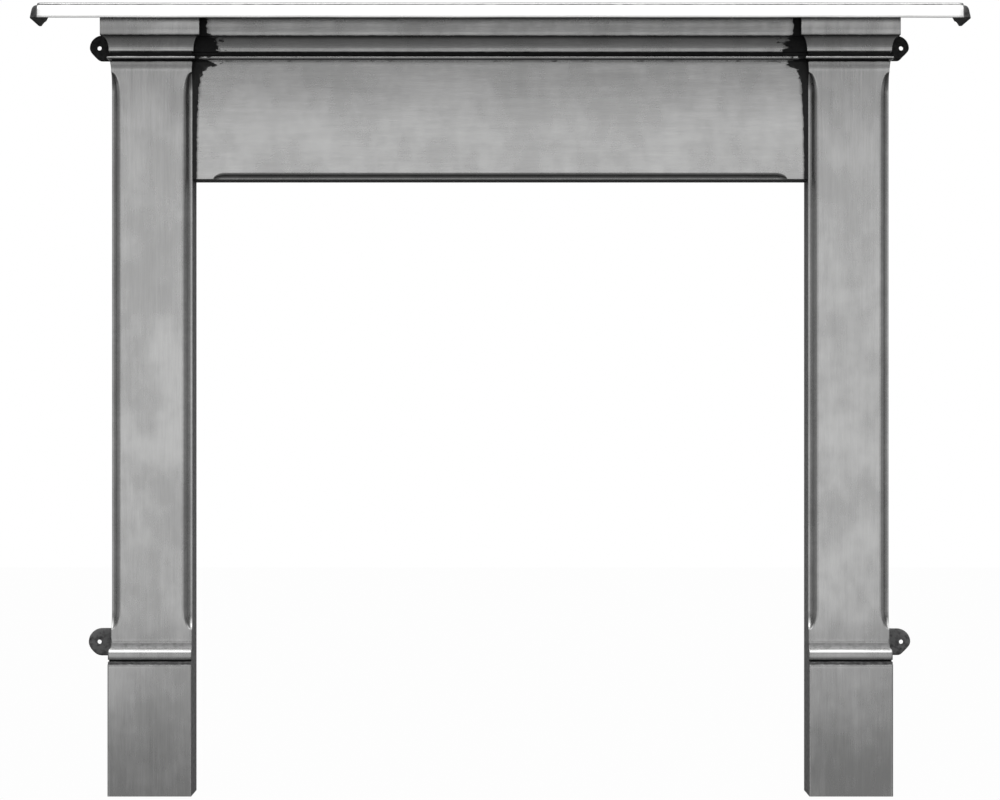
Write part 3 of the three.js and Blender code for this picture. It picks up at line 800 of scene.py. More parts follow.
@dataclass
class Jamb(Casting):
    """A hollow pilaster casting: plinth, shaft with stopped hollow chamfers, capital and two wall ears.

    Its bands are lines between two levels, as (low, high, tone); two of them are partly painted shade. The
    tone is changed by height with painted light and shade. The cove's painted shade is the part of the base's
    hollow that is made only half polished, as distances below its top, to paint its dark reflection.
    """

    hand: Hand
    cornice: Cornice = field(default_factory=lambda: Cornice(bead_drop=2.0))
    base: Base = field(default_factory=Base)
    capital_outer: float = 15.0
    capital_inner: float = 12.5
    neck_flare: float = 1.6
    neck_ease: float = 3.0
    plinth_ease: float = 1.2
    plinth_arris: float = 2.6
    mid_shaft: float = 600.0
    row_spacing: float = 9.0
    waver: float = 0.13
    plinth_slope: float = 18.0
    hollow_cut: float = 16.0
    web_depth: float = 97.0
    face_tone: float = 0.74
    hollow_tone: float = 0.66
    side_tone: float = 0.5
    # painted light and shade by height: darker towards the capital, into the base's hollow and down the
    # plinth towards the floor, lighter on the fascia's top under the shelf
    painted_light_by_height: tuple = (
        PaintedLight(-0.34, 930.0, 1085.0),
        PaintedLight(-0.28, 275.0, 225.0),
        PaintedLight(-0.42, 196.0, 0.0),
        PaintedLight(0.6, 1142.0, 1149.0),
    )
    # painted shade on the necking, which leans to face down
    neck_painted_shade: PaintedLight = PaintedLight(-0.1, 1075.0, 1079.0)
    cove_painted_shade: tuple = (5.2, 13.0)
    bands: tuple = (
        (199.0, 202.4, 0.0),
        # partly the dull recess under the groove, partly painted shade laid over the plinth's top arris
        (194.4, 199.0, 0.5),
        (1087.8, 1091.5, 0.0),
        # painted shade: the upper quirk's black also covers the bead's upper half, shaded by the cove above
        (1095.5, 1102.4, 0.0),
        (1125.2, 1126.4, 0.3),
    )
    slot: Slot = Slot.POLISHED

    def __post_init__(self) -> None:
        """Names the piece and sets out its chamfers and the painted shade lines in their upper stops."""
        self.node = f"{self.hand.name.lower()}_jamb"
        start, end = self.base.top + 14.0, DATUM.necking_bottom - 4.4
        self.chamfer = StoppedHollow(radius=13.0, start=start, end=end, start_stop=30.0, end_stop=34.0)
        self.inner_painted_shade = 2.35 if self.hand is Hand.LEFT else 1.9
        self.outer_painted_shade = 2.2

    def profile(self) -> np.ndarray:
        """The front's line from floor to seat, eased, with a row every few millimetres and more in the stops.

        Returns:
            (rows, 2) points as (projection, height).
        """
        neck = [(0.0, DATUM.necking_bottom), (self.neck_flare, DATUM.frieze_top)]
        corners = np.vstack([self.base.line(), neck, self.cornice.line()])
        easing = np.where(corners[1:-1, 1] < self.base.height, self.plinth_ease, ARRIS_EASE)
        easing[np.abs(corners[1:-1, 1] - DATUM.necking_bottom) < 0.1] = self.neck_ease
        path = eased(corners, easing)
        foot = np.argmax(np.abs(path[:, 0]) < 1e-6)
        stops = along(path)[foot] + self.chamfer.levels() - path[foot, 1]
        return refined(path, self.row_spacing, stops)

    def section(self) -> Shell:
        """The casting's body: a channel open at the back, one row for each level of the profile.

        Returns:
            The closed shell, on the right-hand side.
        """
        no_chamfer, least_strip = 2.0, 1.2
        path = self.profile()
        p, z = path[:, 0], path[:, 1]
        capital = z > self.mid_shaft
        share = np.where(capital, p / DATUM.fascia, p / self.base.projection)
        far = DATUM.shaft_width + share * np.where(capital, self.capital_outer, self.base.side)
        near = -np.where(capital, share * self.capital_inner, 0.0)
        front = DATUM.shaft_depth + p
        size, bend = self.chamfer.size(z), self.chamfer.hollowness(z)
        outer_size = np.where((z < self.base.top) & (size < no_chamfer), self.plinth_arris, size)
        side_ease, front_ease = self.chamfer.eases(z)
        beside = DATUM.header_depth + p + DATUM.joint
        header = np.minimum(beside, front - size - side_ease - least_strip)
        none, ease = np.zeros_like(z), self.chamfer.side_ease
        back, scribe, scribed = at(none, none), at(none, header), at(near, header + DATUM.joint)
        side_in, face_in = at(near, front - size), at(near + size, front)
        face_out, side_out = at(far - outer_size, front), at(far, front - outer_size)
        line, counts = joined([
            back[:, None],
            straight(back, scribe, 9),
            scribe[:, None],
            scribed[:, None],
            straight(scribed, at(near, front - size - side_ease), 3),
            hollow_corner(side_in, face_in, at(near, front), bend, ease),
            straight(at(near + size + front_ease, front), at(far - outer_size - front_ease, front), 26, True),
            hollow_corner(side_out, face_out, at(far, front), bend, ease)[:, ::-1],
            straight(at(far, front - outer_size - side_ease), at(far, none), 13),
            at(far, none)[:, None],
        ])
        surface = self.polish(path, line, counts)
        u, d = line[..., 0], line[..., 1]
        face = smoothstep(d, DATUM.shaft_depth - 4, DATUM.shaft_depth - 1)
        waver = hand_waver(u, z[:, None], self.waver, 1.0 + self.hand.value)
        d = d + face * (waver + fascia_roll(z)[:, None])
        outer = self.placed(u, d, np.broadcast_to(z[:, None], u.shape))
        return channel(outer, self.hollow(path, counts), surface)

    def polish(self, path: np.ndarray, line: np.ndarray, counts: np.ndarray) -> Surface:
        """The finish of the outside.

        Quirks and the base's groove stay black. The inner return is dull below the header and as cast beside
        it. The outer side is polished in its front part. The hollows are duller than the face, with a black
        line of painted shade in their upper stops. The face's tone carries painted light and shade by height,
        and the cove above the roll is painted darker.

        Args:
            path: the front's line.
            line: (rows, n, 2) points of the section.
            counts: the column where each part of the section starts.

        Returns:
            The finish of each point.
        """
        shape = line.shape[:2]
        z, depth = path[:, 1][:, None] + np.zeros(shape), line[..., 1]
        column = np.arange(shape[1])[None, :] + np.zeros(shape)
        near_hollow, face, far_hollow, side = counts[5:9]
        inner, outer = column < near_hollow, column >= side
        hollow = ((column >= near_hollow) & (column < face)) | ((column >= far_hollow) & (column < side))
        # the face's tone, with its painted light and shade by height
        tone = self.face_tone + sum(shade.over(z) for shade in self.painted_light_by_height)
        tone = tone + self.neck_painted_shade.over(z) * (z < DATUM.frieze_top - 2)
        tone = np.where(hollow, self.hollow_tone, np.where(outer, self.side_tone, tone))
        surface = Surface.polished(shape, tone)
        surface.cut_bands(z, self.bands)
        below = self.base.top - z
        # painted shade: the cove above the roll is made half as cast, for its dark reflection
        surface.cut((below > self.cove_painted_shade[0]) & (below < self.cove_painted_shade[1]), -0.22, 0.95, 0.0)
        edge = (DATUM.shaft_depth + path[:, 0] - self.chamfer.size(path[:, 1]))[:, None]
        beside = smoothstep(z, DATUM.opening_top - 14, DATUM.opening_top + 4)
        surface.cut(inner, depth - edge + 0.8, 0.85 - 0.75 * beside, 4.0)
        surface.cut(outer, (depth - 34.0) * 0.5, 0.3, 30.0)
        # painted shade: a black line in the upper stop of each hollow, under the capital
        stop_painted_shade = smoothstep(path[:, 1], 990, 1045) * self.chamfer.hollowness(path[:, 1])
        stop_painted_shade = stop_painted_shade[:, None] * bell(face - near_hollow, 0.48, 0.2)
        black = np.full(shape, POLISHED)
        black[:, near_hollow:face] = 2.0 - self.inner_painted_shade * stop_painted_shade
        black[:, far_hollow:side] = 2.0 - self.outer_painted_shade * stop_painted_shade[:, ::-1]
        surface.cut(hollow, black, 0.25)
        return surface

    def hollow(self, path: np.ndarray, counts: np.ndarray) -> np.ndarray:
        """The hollow's points, one behind each point of the outside.

        The hollow is a plain channel a wall's thickness inside the casting, with its front corners cut off
        behind the chamfers. Its levels rise evenly, so a ledge outside leaves no step inside.

        Args:
            path: the front's line.
            counts: the column where each part of the section starts.

        Returns:
            (rows, n, 3) points.
        """
        own, base, cut = along(path), self.base, self.hollow_cut
        z = own / own[-1] * path[-1, 1]
        foot = [0.0, base.height - self.plinth_slope, base.height]
        levels = [*foot, DATUM.flare_start, DATUM.flare_end, DATUM.seat]
        spread = np.interp(z, levels, [1, 1, 0, 0, 0, 0])
        flare = np.interp(z, levels, [0, 0, 0, 0, 1, 1])
        front = DATUM.shaft_depth + base.projection * spread + DATUM.fascia * flare - DATUM.wall
        far = DATUM.shaft_width + base.side * spread + self.capital_outer * flare - DATUM.wall
        near, back = np.full_like(z, DATUM.wall), np.zeros_like(z)
        across = np.column_stack([near, near, near + cut, far - cut, far, far])
        deep = np.column_stack([back, front - cut, front, front, front - cut, back])
        breaks = [0, counts[5], counts[6] - 1, counts[7], counts[8] - 1, counts[-1] - 1]
        index = np.arange(counts[-1])
        weights = np.array([np.interp(index, breaks, corner) for corner in np.eye(len(breaks))])
        u, d = across @ weights, deep @ weights
        return self.placed(u, d, np.broadcast_to(z[:, None], u.shape))

    def placed(self, u: np.ndarray, d: np.ndarray, z: np.ndarray) -> np.ndarray:
        """Section points, out from the inner face, as (x, depth, height) on the right-hand side."""
        return np.stack([DATUM.inner_face + u, d, z], axis=-1)

    def shells(self) -> list[Shell]:
        """The casting's shells, mirrored for the left-hand jamb.

        Returns:
            Body, top web and ears.
        """
        face, sunk = DATUM.inner_face, 3.0
        far = face + DATUM.shaft_width + self.capital_outer - sunk
        web = slab((face + sunk, 1.0, DATUM.web_bottom), (far, self.web_depth, DATUM.web_top), WEB_EASE)
        shells = [self.section(), web, *(ear.shell() for ear in EARS[self.hand])]
        if self.hand is Hand.LEFT:
            shells = [shell.mirrored().outward() for shell in shells]
        return shells


# ---------------------------------------------------------------- header


@dataclass
class Header(Casting):
    """The frieze casting between the jambs, with the capitals' cornice and a stopped hollow below.

    Its margins are the as-cast strips at its ends, as (height, width), and rough says how far their edge
    wanders, as (height, millimetres). The flare's points are those of the moulding where the hollow behind it
    starts and ends its widening.
    """

    cornice: Cornice = field(default_factory=Cornice)
    half_length: float = 456.9
    plain_top: float = 1066.0
    ledge: float = 0.8
    waver: float = 0.16
    flange: float = 7.0
    flange_depth: float = 68.0
    web_depth: float = 84.0
    hollow_cut: float = 9.0
    flare_points: tuple = (8, 44)
    boss_end: float = 439.4
    bolt_depth: float = 34.0
    bolt_levels: tuple = (960.4, 1064.4)
    face_tone: float = 0.84
    # painted light and shade by height: the frieze darker towards the cornice and shelf above it, the cove's
    # top darker, the fascia's top lighter under the shelf
    painted_light_by_height: tuple = (PaintedLight(-0.46, 975.0, 1085.0), PaintedLight(-0.08, 1110.0, 1127.0), PaintedLight(0.25, 1144.0, 1150.0))
    margins: tuple = (
        (914, 5.5), (1000, 6.5), (1050, 9.0), (1074, 14.0), (1080, 18.0), (1084, 32.0),
        (1088, 34.0), (1091, 22.0), (1093, 13.0), (1097, 15.0), (1099, 34.0), (1103, 38.0),
        (1108, 37.0), (1122, 33.0), (1127, 23.0), (1163, 22.0),
    )
    rough: tuple = ((914, 5.0), (1062, 8.0), (1078, 45.0), (1100, 60.0), (1124, 50.0), (1128, 12.0))
    bands: tuple = ((1089.7, 1090.5, 0.4), (1096.8, 1103.2, 0.0), (1125.2, 1126.4, 0.3))
    node: str = "header_panel"
    slot: Slot = Slot.POLISHED

    def __post_init__(self) -> None:
        """Sets out the hollow chamfer on the lower arris."""
        end = DATUM.inner_face - 31.0
        self.chamfer = StoppedHollow(8.9, -end, end, start_stop=18.0, end_stop=18.0, arris=0.9, side_ease=1.1)

    def section(self) -> Shell:
        """The casting's body: an upright channel section, one row for each place along the opening.

        Returns:
            The closed shell.
        """
        near_ends = self.half_length - np.array([1.0, 3.0, 5.0, 9.0, 14.0, 20.0])
        places = np.r_[np.linspace(-self.half_length, self.half_length, 121), self.chamfer.levels()]
        x = np.unique(np.r_[places, near_ends, -near_ends].round(2))
        size, bend = self.chamfer.size(x), self.chamfer.hollowness(x)
        soffit_ease, face_ease = self.chamfer.eases(x)
        flat = np.zeros_like(x)
        bottom, depth = DATUM.opening_top + flat, DATUM.header_depth + flat
        start = [(0, self.plain_top), (0, DATUM.frieze_top)]
        upper = refined(eased(np.vstack([start, self.cornice.line()]), ARRIS_EASE), 6.0)
        upper = upper + np.array([DATUM.header_depth, 0])
        back, soffit = at(flat, bottom), at(depth - size, bottom)
        face, top = at(depth, bottom + size), at(depth, self.plain_top + flat)
        line, counts = joined([
            back[:, None],
            straight(back, at(depth - size - soffit_ease, bottom), 8),
            hollow_corner(soffit, face, at(depth, bottom), bend, self.chamfer.side_ease, self.ledge),
            straight(at(depth, bottom + size + face_ease), top, 22, True),
            np.broadcast_to(upper, (len(x), *upper.shape)),
        ])
        surface = self.polish(x, line, counts)
        d, z = line[..., 0], line[..., 1]
        frieze = smoothstep(z, 926, 985) * (1 - smoothstep(z, 1040, 1084))
        frieze = frieze * smoothstep(d, DATUM.header_depth - 2, DATUM.header_depth - 0.5)
        d = d + frieze * hand_waver(x[:, None] / 1.6, z / 1.3, self.waver, 2.6) + fascia_roll(z)
        outer = np.stack([np.broadcast_to(x[:, None], d.shape), d, z], axis=-1)
        return channel(outer, self.hollow(x, counts), surface)

    def polish(self, x: np.ndarray, line: np.ndarray, counts: np.ndarray) -> Surface:
        """The finish of the outside.

        A ragged strip at each end, against the jambs, is as cast. It is narrow beside the opening, widens
        upwards and is widest in the cove. The soffit is as cast too. A thin black line in the top of the
        hollow is painted shade, where the hollow faces down.

        Args:
            x: the place of each row.
            line: (rows, n, 2) points of the section.
            counts: the column where each part of the section starts.

        Returns:
            The finish of each point.
        """
        shape, z = line.shape[:2], line[..., 1]
        column = np.arange(shape[1])[None, :] + np.zeros(shape)
        hollow, face = counts[2:4]
        tone = self.face_tone + sum(shade.over(z) for shade in self.painted_light_by_height)
        surface = Surface.polished(shape, tone)
        surface.cut_bands(z, self.bands)
        ends = (self.half_length - np.abs(x))[:, None] - at_heights(z, self.margins)
        rough = at_heights(z, self.rough)
        surface.ragged = np.where(ends < 14.0, rough, surface.ragged)
        surface.cut(True, ends, 0.05, rough)
        banded = np.min([outside(z, low, high) for low, high, _ in self.bands], axis=0) < 0.8
        surface.ragged = np.where(banded, RAGGED, surface.ragged)
        surface.cut(column < hollow, AS_CAST, 0.35)
        thin = np.full(shape, POLISHED)
        # painted shade: a black line in the top of the hollow, which faces down
        hollow_painted_shade = bell(face - hollow, 0.60, 0.09) * self.chamfer.hollowness(x)[:, None]
        thin[:, hollow:face] = 2.0 - 3.4 * hollow_painted_shade
        surface.cut(column < face, thin, 0.1)
        return surface

    def hollow(self, x: np.ndarray, counts: np.ndarray) -> np.ndarray:
        """The hollow behind the frieze, one point behind each point of the outside.

        Args:
            x: the place of each row.
            counts: the column where each part of the section starts.

        Returns:
            (rows, n, 3) points.
        """
        face, floor = DATUM.header_depth - DATUM.wall, DATUM.opening_top + DATUM.wall
        flared, cut = face + DATUM.fascia, self.hollow_cut
        corners = np.array([
            (0, floor), (face - cut, floor), (face, floor + cut),
            (face, DATUM.flare_start), (flared, DATUM.flare_end), (flared, DATUM.seat),
        ])
        first, last = counts[4] + np.array(self.flare_points)
        breaks = [0, counts[2], counts[3] - 1, first, last, counts[-1] - 1]
        index = np.arange(counts[-1])
        d, z = np.interp(index, breaks, corners[:, 0]), np.interp(index, breaks, corners[:, 1])
        return np.stack(np.broadcast_arrays(x[:, None], d[None], z[None]), axis=-1)

    def shells(self) -> list[Shell]:
        """The casting's shells.

        Returns:
            Body, top web, and the end flanges with their bosses.
        """
        end, inside, bottom = self.half_length, self.half_length - self.flange, DATUM.opening_top
        web = slab((-end + 2, 1.0, DATUM.web_bottom), (end - 2, self.web_depth, DATUM.web_top), WEB_EASE)
        shells = [self.section(), web]
        for side in (-1, 1):
            low, high = sorted((side * (end - 0.4), side * inside))
            shells.append(slab((low, 0.6, bottom + 1.0), (high, self.flange_depth, DATUM.web_top), WEB_EASE))
            for level in self.bolt_levels:
                centre = (side * inside, self.bolt_depth, level)
                shells.append(boss(centre, 0, side * self.boss_end, side * inside))
        return shells


# ---------------------------------------------------------------- shelf


@dataclass
class Shelf(Casting):
    """The mantel shelf: a plate with a moulded rim round its front and ends, hollow below, on four bosses.

    The rim's profile is given in pairs: how far a point is in from the shelf's outline, and its level.
    """

    half: float = 691.8
    depth: float = 140.0
    corner: float = 12.0
    least_corner: float = 4.5
    tip: tuple = (26.0, 9.0)
    bottom: float = 1147.3
    underside: float = 1163.3
    top: float = 1170.3
    ceiling_inset: float = 14.5
    rim_inside: float = 11.7
    rim_foot: float = 3.2
    lean: tuple = (0.42, 1150.2)
    ovolo_centre: tuple = (8.5, 1156.3)
    ovolo_radii: tuple = (6.5, 10.2)
    quirk: tuple = (9.9, 1166.5)
    fillet: tuple = (10.4, 1169.4)
    arris_inset: float = 11.3
    top_inset: float = 15.0
    boss_height: float = 12.0
    bolt_places: tuple = (-517.1, -260.0, 260.0, 517.1)
    bolt_depth: float = 67.0
    node: str = "mantel_shelf"
    slot: Slot = Slot.SHELF

    def edge(self) -> np.ndarray:
        """The rim's profile: from the ceiling of its hollow, round the arris and up to the top.

        Returns:
            (n, 2) points as (inset, height).
        """
        ceiling = [(self.ceiling_inset, self.underside), (self.rim_inside, self.underside)]
        foot = [(self.rim_foot, self.bottom), (0.0, self.bottom), self.lean]
        ovolo = arc(self.ovolo_centre, self.ovolo_radii, 158, 90, 9)
        crown = [self.quirk, self.fillet, (self.arris_inset, self.top), (self.top_inset, self.top)]
        return refined(eased(np.vstack([ceiling, foot, ovolo, crown]), 0.6, 3), 0.8)

    def section(self) -> Shell:
        """The rim carried round the two ends and the front, with the top and the ceiling as flat faces.

        Each ring runs forward along the left end, round the corner, along the front and back along the right
        end, moved in by the line's inset. Its corner radius shrinks with the inset.

        Returns:
            The closed shell.
        """
        line = self.edge()
        inset, height = line[:, :1], line[:, 1:]
        half, front = self.half - inset, self.depth - inset
        radius = np.clip(self.corner - 0.55 * inset, self.least_corner, self.corner)
        side = (np.linspace(0, 1, 17) ** 1.6)[None, :]
        turn = np.linspace(0, np.pi / 2, 11)[None, 1:-1]
        across = np.linspace(-1, 1, 121)[None, :]
        x = np.hstack([
            -half + 0 * side,
            -half + radius * (1 - np.cos(turn)),
            (half - radius) * across,
            half - radius * (1 - np.sin(turn)),
            half + 0 * side,
        ])
        d = np.hstack([
            (front - radius) * side,
            front - radius * (1 - np.sin(turn)),
            front + 0 * across,
            front - radius * (1 - np.cos(turn)),
            (front - radius) * (1 - side),
        ])
        waver = 0.10 * np.sin(x / 61) + 0.07 * np.sin(x / 23 + 1.0)
        tip = np.sqrt(1 - np.clip(1 - d / self.tip[0], 0, 1) ** 2)
        low_part = smoothstep(-height, -1158.0, -self.bottom)
        z = height + waver * smoothstep(d, 60, 110) + self.tip[1] * (1 - tip) * low_part
        rows, count = x.shape
        ceiling, top = np.arange(count), np.arange(count) + (rows - 1) * count
        back = np.r_[np.arange(rows) * count, np.arange(rows)[::-1] * count + count - 1]
        surface = self.polish(line, x)
        values = (surface.reach.ravel(), surface.tone.ravel(), surface.ragged.ravel())
        points = np.stack([x, d, z], axis=-1).reshape(-1, 3)
        return Shell(points, grid_quads(rows, count, False), [ceiling, top[::-1], back], *values).outward()

    def polish(self, line: np.ndarray, x: np.ndarray) -> Surface:
        """The finish of the rim.

        Below and at the ends it is as cast. At the ends that is painted shade, for the dark reflection of
        polished ends, and below, the skin is painted lighter away from the ends. The quirk is black, and the
        top's front arris is a dark line.

        Args:
            line: the rim's profile.
            x: (rows, n) the points' places along the shelf.

        Returns:
            The finish of each point.
        """
        inset, height = line[:, :1], line[:, 1:]
        below = (np.arange(len(line)) < np.argmax(line[:, 0] < 2.5))[:, None]
        from_end = self.half - np.abs(x)
        surface = Surface.polished(x.shape, 0.6)
        surface.cut((inset > 7.5) & (height < 1168.5), np.abs(height - 1166.7) - 0.75, 0.1)
        surface.cut((inset > 10.0) & (inset < 12.2) & (height > 1169.0), -0.5, 0.8, 0.0)
        # painted shade: the ends are made as cast for the dark reflection of the polished ends
        surface.cut(True, (from_end - 12.0) * 0.4, 0.4, 0.4)
        # painted light and shade: the underside's skin is lighter away from the ends, so the fascias below
        # reflect it lighter, and dark near the ends
        surface.cut(below, AS_CAST, 0.05 + 0.85 * smoothstep(from_end, 36.8, 91.8))
        return surface

    def shells(self) -> list[Shell]:
        """Plate with rim, and the bosses below it."""
        low, root = self.underside - self.boss_height, self.underside
        return [self.section(), *(boss((x, self.bolt_depth, root), 2, low, root) for x in self.bolt_places)]


# ---------------------------------------------------------------- node groups

VECTOR, FLOAT = "NodeSocketVector", "NodeSocketFloat"


def new_group(name: str, inputs: dict, outputs: dict) -> tuple:
    """Makes a shader node group.

    Args:
        name: its name.
        inputs: {socket name: (socket type, default)}.
        outputs: {socket name: socket type}.

    Returns:
        (the group's tree, its input node, its output node).
    """
    tree = bpy.data.node_groups.new(name, "ShaderNodeTree")
    for label, (kind, default) in inputs.items():
        socket = tree.interface.new_socket(label, in_out="INPUT", socket_type=kind)
        if default is not None:
            socket.default_value = default
    for label, kind in outputs.items():
        tree.interface.new_socket(label, in_out="OUTPUT", socket_type=kind)
    return tree, tree.nodes.new("NodeGroupInput"), tree.nodes.new("NodeGroupOutput")


def math_node(
    tree: bpy.types.NodeTree, kind: str, *values: object, clamp: bool = False
) -> bpy.types.NodeSocket:
    """Adds a Math node.

    Args:
        tree: the tree that it is made in.
        kind: its operation.
        *values: its inputs, each a number or the socket that feeds it.
        clamp: whether the result is kept between 0 and 1.

    Returns:
        Its output.
    """
    node = tree.nodes.new("ShaderNodeMath")
    node.operation = kind
    node.use_clamp = clamp
    for place, value in enumerate(values):
        if isinstance(value, (int, float)):
            node.inputs[place].default_value = value
        else:
            tree.links.new(value, node.inputs[place])
    return node.outputs[0]


def weighted(
    tree: bpy.types.NodeTree, first: object, share: float, second: object, other_share: float
) -> bpy.types.NodeSocket:
    """first * share + second * other share, for sockets."""
    return math_node(tree, "MULTIPLY_ADD", first, share, math_node(tree, "MULTIPLY", second, other_share))


def noise(
    tree: bpy.types.NodeTree,
    place: object,
    stretch: tuple,
    scale: float,
    detail: float = 4.0,
    rough: float = 0.55,
) -> bpy.types.NodeSocket:
    """A noise pattern from 0 to 1, stretched along the axes by a Mapping node.

    Args:
        tree: the tree that it is made in.
        place: the socket with the coordinates.
        stretch: how many times as fine the pattern is along each axis.
        scale: the noise's scale, per metre.
        detail: its octaves.
        rough: how strong the finer octaves are.

    Returns:
        The value's socket.
    """
    mapping = tree.nodes.new("ShaderNodeMapping")
    mapping.inputs["Scale"].default_value = stretch
    tree.links.new(place, mapping.inputs["Vector"])
    node = tree.nodes.new("ShaderNodeTexNoise")
    node.inputs["Scale"].default_value = scale
    node.inputs["Detail"].default_value = detail
    node.inputs["Roughness"].default_value = rough
    tree.links.new(mapping.outputs["Vector"], node.inputs["Vector"])
    return node.outputs["Fac"]


def ramp(tree: bpy.types.NodeTree, value: object, low: float, high: float) -> bpy.types.NodeSocket:
    """A smooth step of a value from 0 at low to 1 at high.

    Args:
        tree: the tree that it is made in.
        value: the socket with the value.
        low: where the step starts.
        high: where it ends, which may be the lower number.

    Returns:
        The step's socket.
    """
    node = tree.nodes.new("ShaderNodeMapRange")
    node.interpolation_type = "SMOOTHSTEP"
    node.inputs["From Min"].default_value = low
    node.inputs["From Max"].default_value = high
    tree.links.new(value, node.inputs["Value"])
    return node.outputs["Result"]


@functools.cache
def polish_mask() -> bpy.types.NodeTree:
    """Where the iron is polished.

    The reach, in millimetres, gets a ragged noise added near the polish's edge and is stepped about zero.
    Mask is 1 on polished iron, and Halo is 1 in the worn rim just inside its edge.

    Returns:
        The group.
    """
    inputs = {"Place": (VECTOR, None), "Reach": (FLOAT, 0.0), "Ragged": (FLOAT, RAGGED)}
    tree, ins, outs = new_group("polish_mask", inputs, {"Mask": FLOAT, "Halo": FLOAT})
    place, reach = ins.outputs["Place"], ins.outputs["Reach"]
    coarse = noise(tree, place, stretch=(1, 1, 2.6), scale=70, detail=5, rough=0.6)
    fine = noise(tree, place, stretch=(1, 1, 3.0), scale=420, detail=2, rough=0.5)
    fine = math_node(tree, "MULTIPLY", math_node(tree, "SUBTRACT", fine, 0.5), 0.12)
    both = math_node(tree, "ADD", math_node(tree, "SUBTRACT", coarse, 0.5), fine)
    moved = math_node(tree, "MULTIPLY", both, ins.outputs["Ragged"])
    near_edge = ramp(tree, math_node(tree, "ABSOLUTE", reach), 18.0, 9.0)
    edge = math_node(tree, "ADD", reach, math_node(tree, "MULTIPLY", moved, near_edge))
    halo = math_node(tree, "MULTIPLY", ramp(tree, edge, -0.5, 0.6), ramp(tree, edge, 3.2, 0.6))
    tree.links.new(ramp(tree, edge, -0.45, 0.45), outs.inputs["Mask"])
    tree.links.new(halo, outs.inputs["Halo"])
    return tree


@functools.cache
def hand_grain() -> bpy.types.NodeTree:
    """Fine scratches of the polishing belt, drawn out along the axis that Direction makes small.

    A fine and a wide noise are blended. The blend, from 0 to 1, is both Streak and Height.

    Returns:
        The group.
    """
    inputs = {"Place": (VECTOR, None), "Direction": (VECTOR, (1.0, 1.0, 1.0))}
    tree, ins, outs = new_group("hand_grain", inputs, {"Streak": FLOAT, "Height": FLOAT})
    scaled = tree.nodes.new("ShaderNodeVectorMath")
    scaled.operation = "MULTIPLY"
    tree.links.new(ins.outputs["Place"], scaled.inputs[0])
    tree.links.new(ins.outputs["Direction"], scaled.inputs[1])
    fine = noise(tree, scaled.outputs[0], stretch=(1, 1, 1), scale=900, detail=3, rough=0.6)
    wide = noise(tree, scaled.outputs[0], stretch=(1, 1, 1), scale=150, detail=3, rough=0.5)
    blend = weighted(tree, fine, 0.55, wide, 0.45)
    tree.links.new(blend, outs.inputs["Streak"])
    tree.links.new(blend, outs.inputs["Height"])
    return tree


@functools.cache
def cloudiness() -> bpy.types.NodeTree:
    """Soft clouds a few centimetres across, where the polish is brighter or duller, and a low swell.

    Returns:
        The group, with Cloud and Height.
    """
    tree, ins, outs = new_group("cloudiness", {"Place": (VECTOR, None)}, {"Cloud": FLOAT, "Height": FLOAT})
    place = ins.outputs["Place"]
    large = noise(tree, place, stretch=(1.0, 1, 0.8), scale=9, detail=3, rough=0.55)
    small = noise(tree, place, stretch=(1.3, 1, 0.8), scale=34, detail=3, rough=0.5)
    swell = noise(tree, place, stretch=(1.0, 1, 0.6), scale=14, detail=1, rough=0.4)
    mixed = weighted(tree, large, 0.65, small, 0.35)
    tree.links.new(ramp(tree, mixed, 0.34, 0.66), outs.inputs["Cloud"])
    tree.links.new(swell, outs.inputs["Height"])
    return tree


@functools.cache
def casting_skin() -> bpy.types.NodeTree:
    """The sand-cast skin: a fine grain with larger lumps.

    Returns:
        The group, with Grain, which is the lumps alone, and Height.
    """
    tree, ins, outs = new_group("casting_skin", {"Place": (VECTOR, None)}, {"Grain": FLOAT, "Height": FLOAT})
    sand = noise(tree, ins.outputs["Place"], stretch=(1, 1, 1), scale=1100, detail=3, rough=0.65)
    lumps = noise(tree, ins.outputs["Place"], stretch=(1, 1, 1), scale=160, detail=4, rough=0.6)
    tree.links.new(lumps, outs.inputs["Grain"])
    tree.links.new(weighted(tree, sand, 0.4, lumps, 0.6), outs.inputs["Height"])
    return tree


def attribute(tree: bpy.types.NodeTree, name: str) -> bpy.types.NodeSocket:
    """The value of a mesh attribute."""
    node = tree.nodes.new("ShaderNodeAttribute")
    node.attribute_name = name
    return node.outputs["Fac"]


def placed_group(tree: bpy.types.NodeTree, group: bpy.types.NodeTree, place: object) -> bpy.types.Node:
    """Places a group in a material's tree, fed with the object's coordinates."""
    node = tree.nodes.new("ShaderNodeGroup")
    node.node_tree = group
    tree.links.new(place, node.inputs["Place"])
    return node


def mixed_colour(
    tree: bpy.types.NodeTree, amount: object, first: object, second: object
) -> bpy.types.NodeSocket:
    """A colour mix.

    Args:
        tree: the tree that it is made in.
        amount: the socket that says how much of the second colour there is.
        first: a (red, green, blue) tuple or a socket.
        second: the same.

    Returns:
        The mixed colour's socket.
    """
    node = tree.nodes.new("ShaderNodeMix")
    node.data_type = "RGBA"
    tree.links.new(amount, node.inputs[0])
    for place, value in ((6, first), (7, second)):
        if isinstance(value, tuple):
            node.inputs[place].default_value = (*value, 1.0)
        else:
            tree.links.new(value, node.inputs[place])
    return node.outputs[2]


def mixed_value(
    tree: bpy.types.NodeTree, amount: object, first: object, second: object
) -> bpy.types.NodeSocket:
    """first + amount * (second - first), for numbers or sockets."""
    span = math_node(tree, "SUBTRACT", second, first)
    return math_node(tree, "MULTIPLY_ADD", span, amount, first)


def new_material(name: str) -> tuple:
    """Makes a material. Returns it with its tree, its Principled BSDF and the object coordinates' socket."""
    made = bpy.data.materials.new(name)
    made.use_nodes = True
    tree = made.node_tree
    place = tree.nodes.new("ShaderNodeTexCoord").outputs["Object"]
    return made, tree, tree.nodes["Principled BSDF"], place


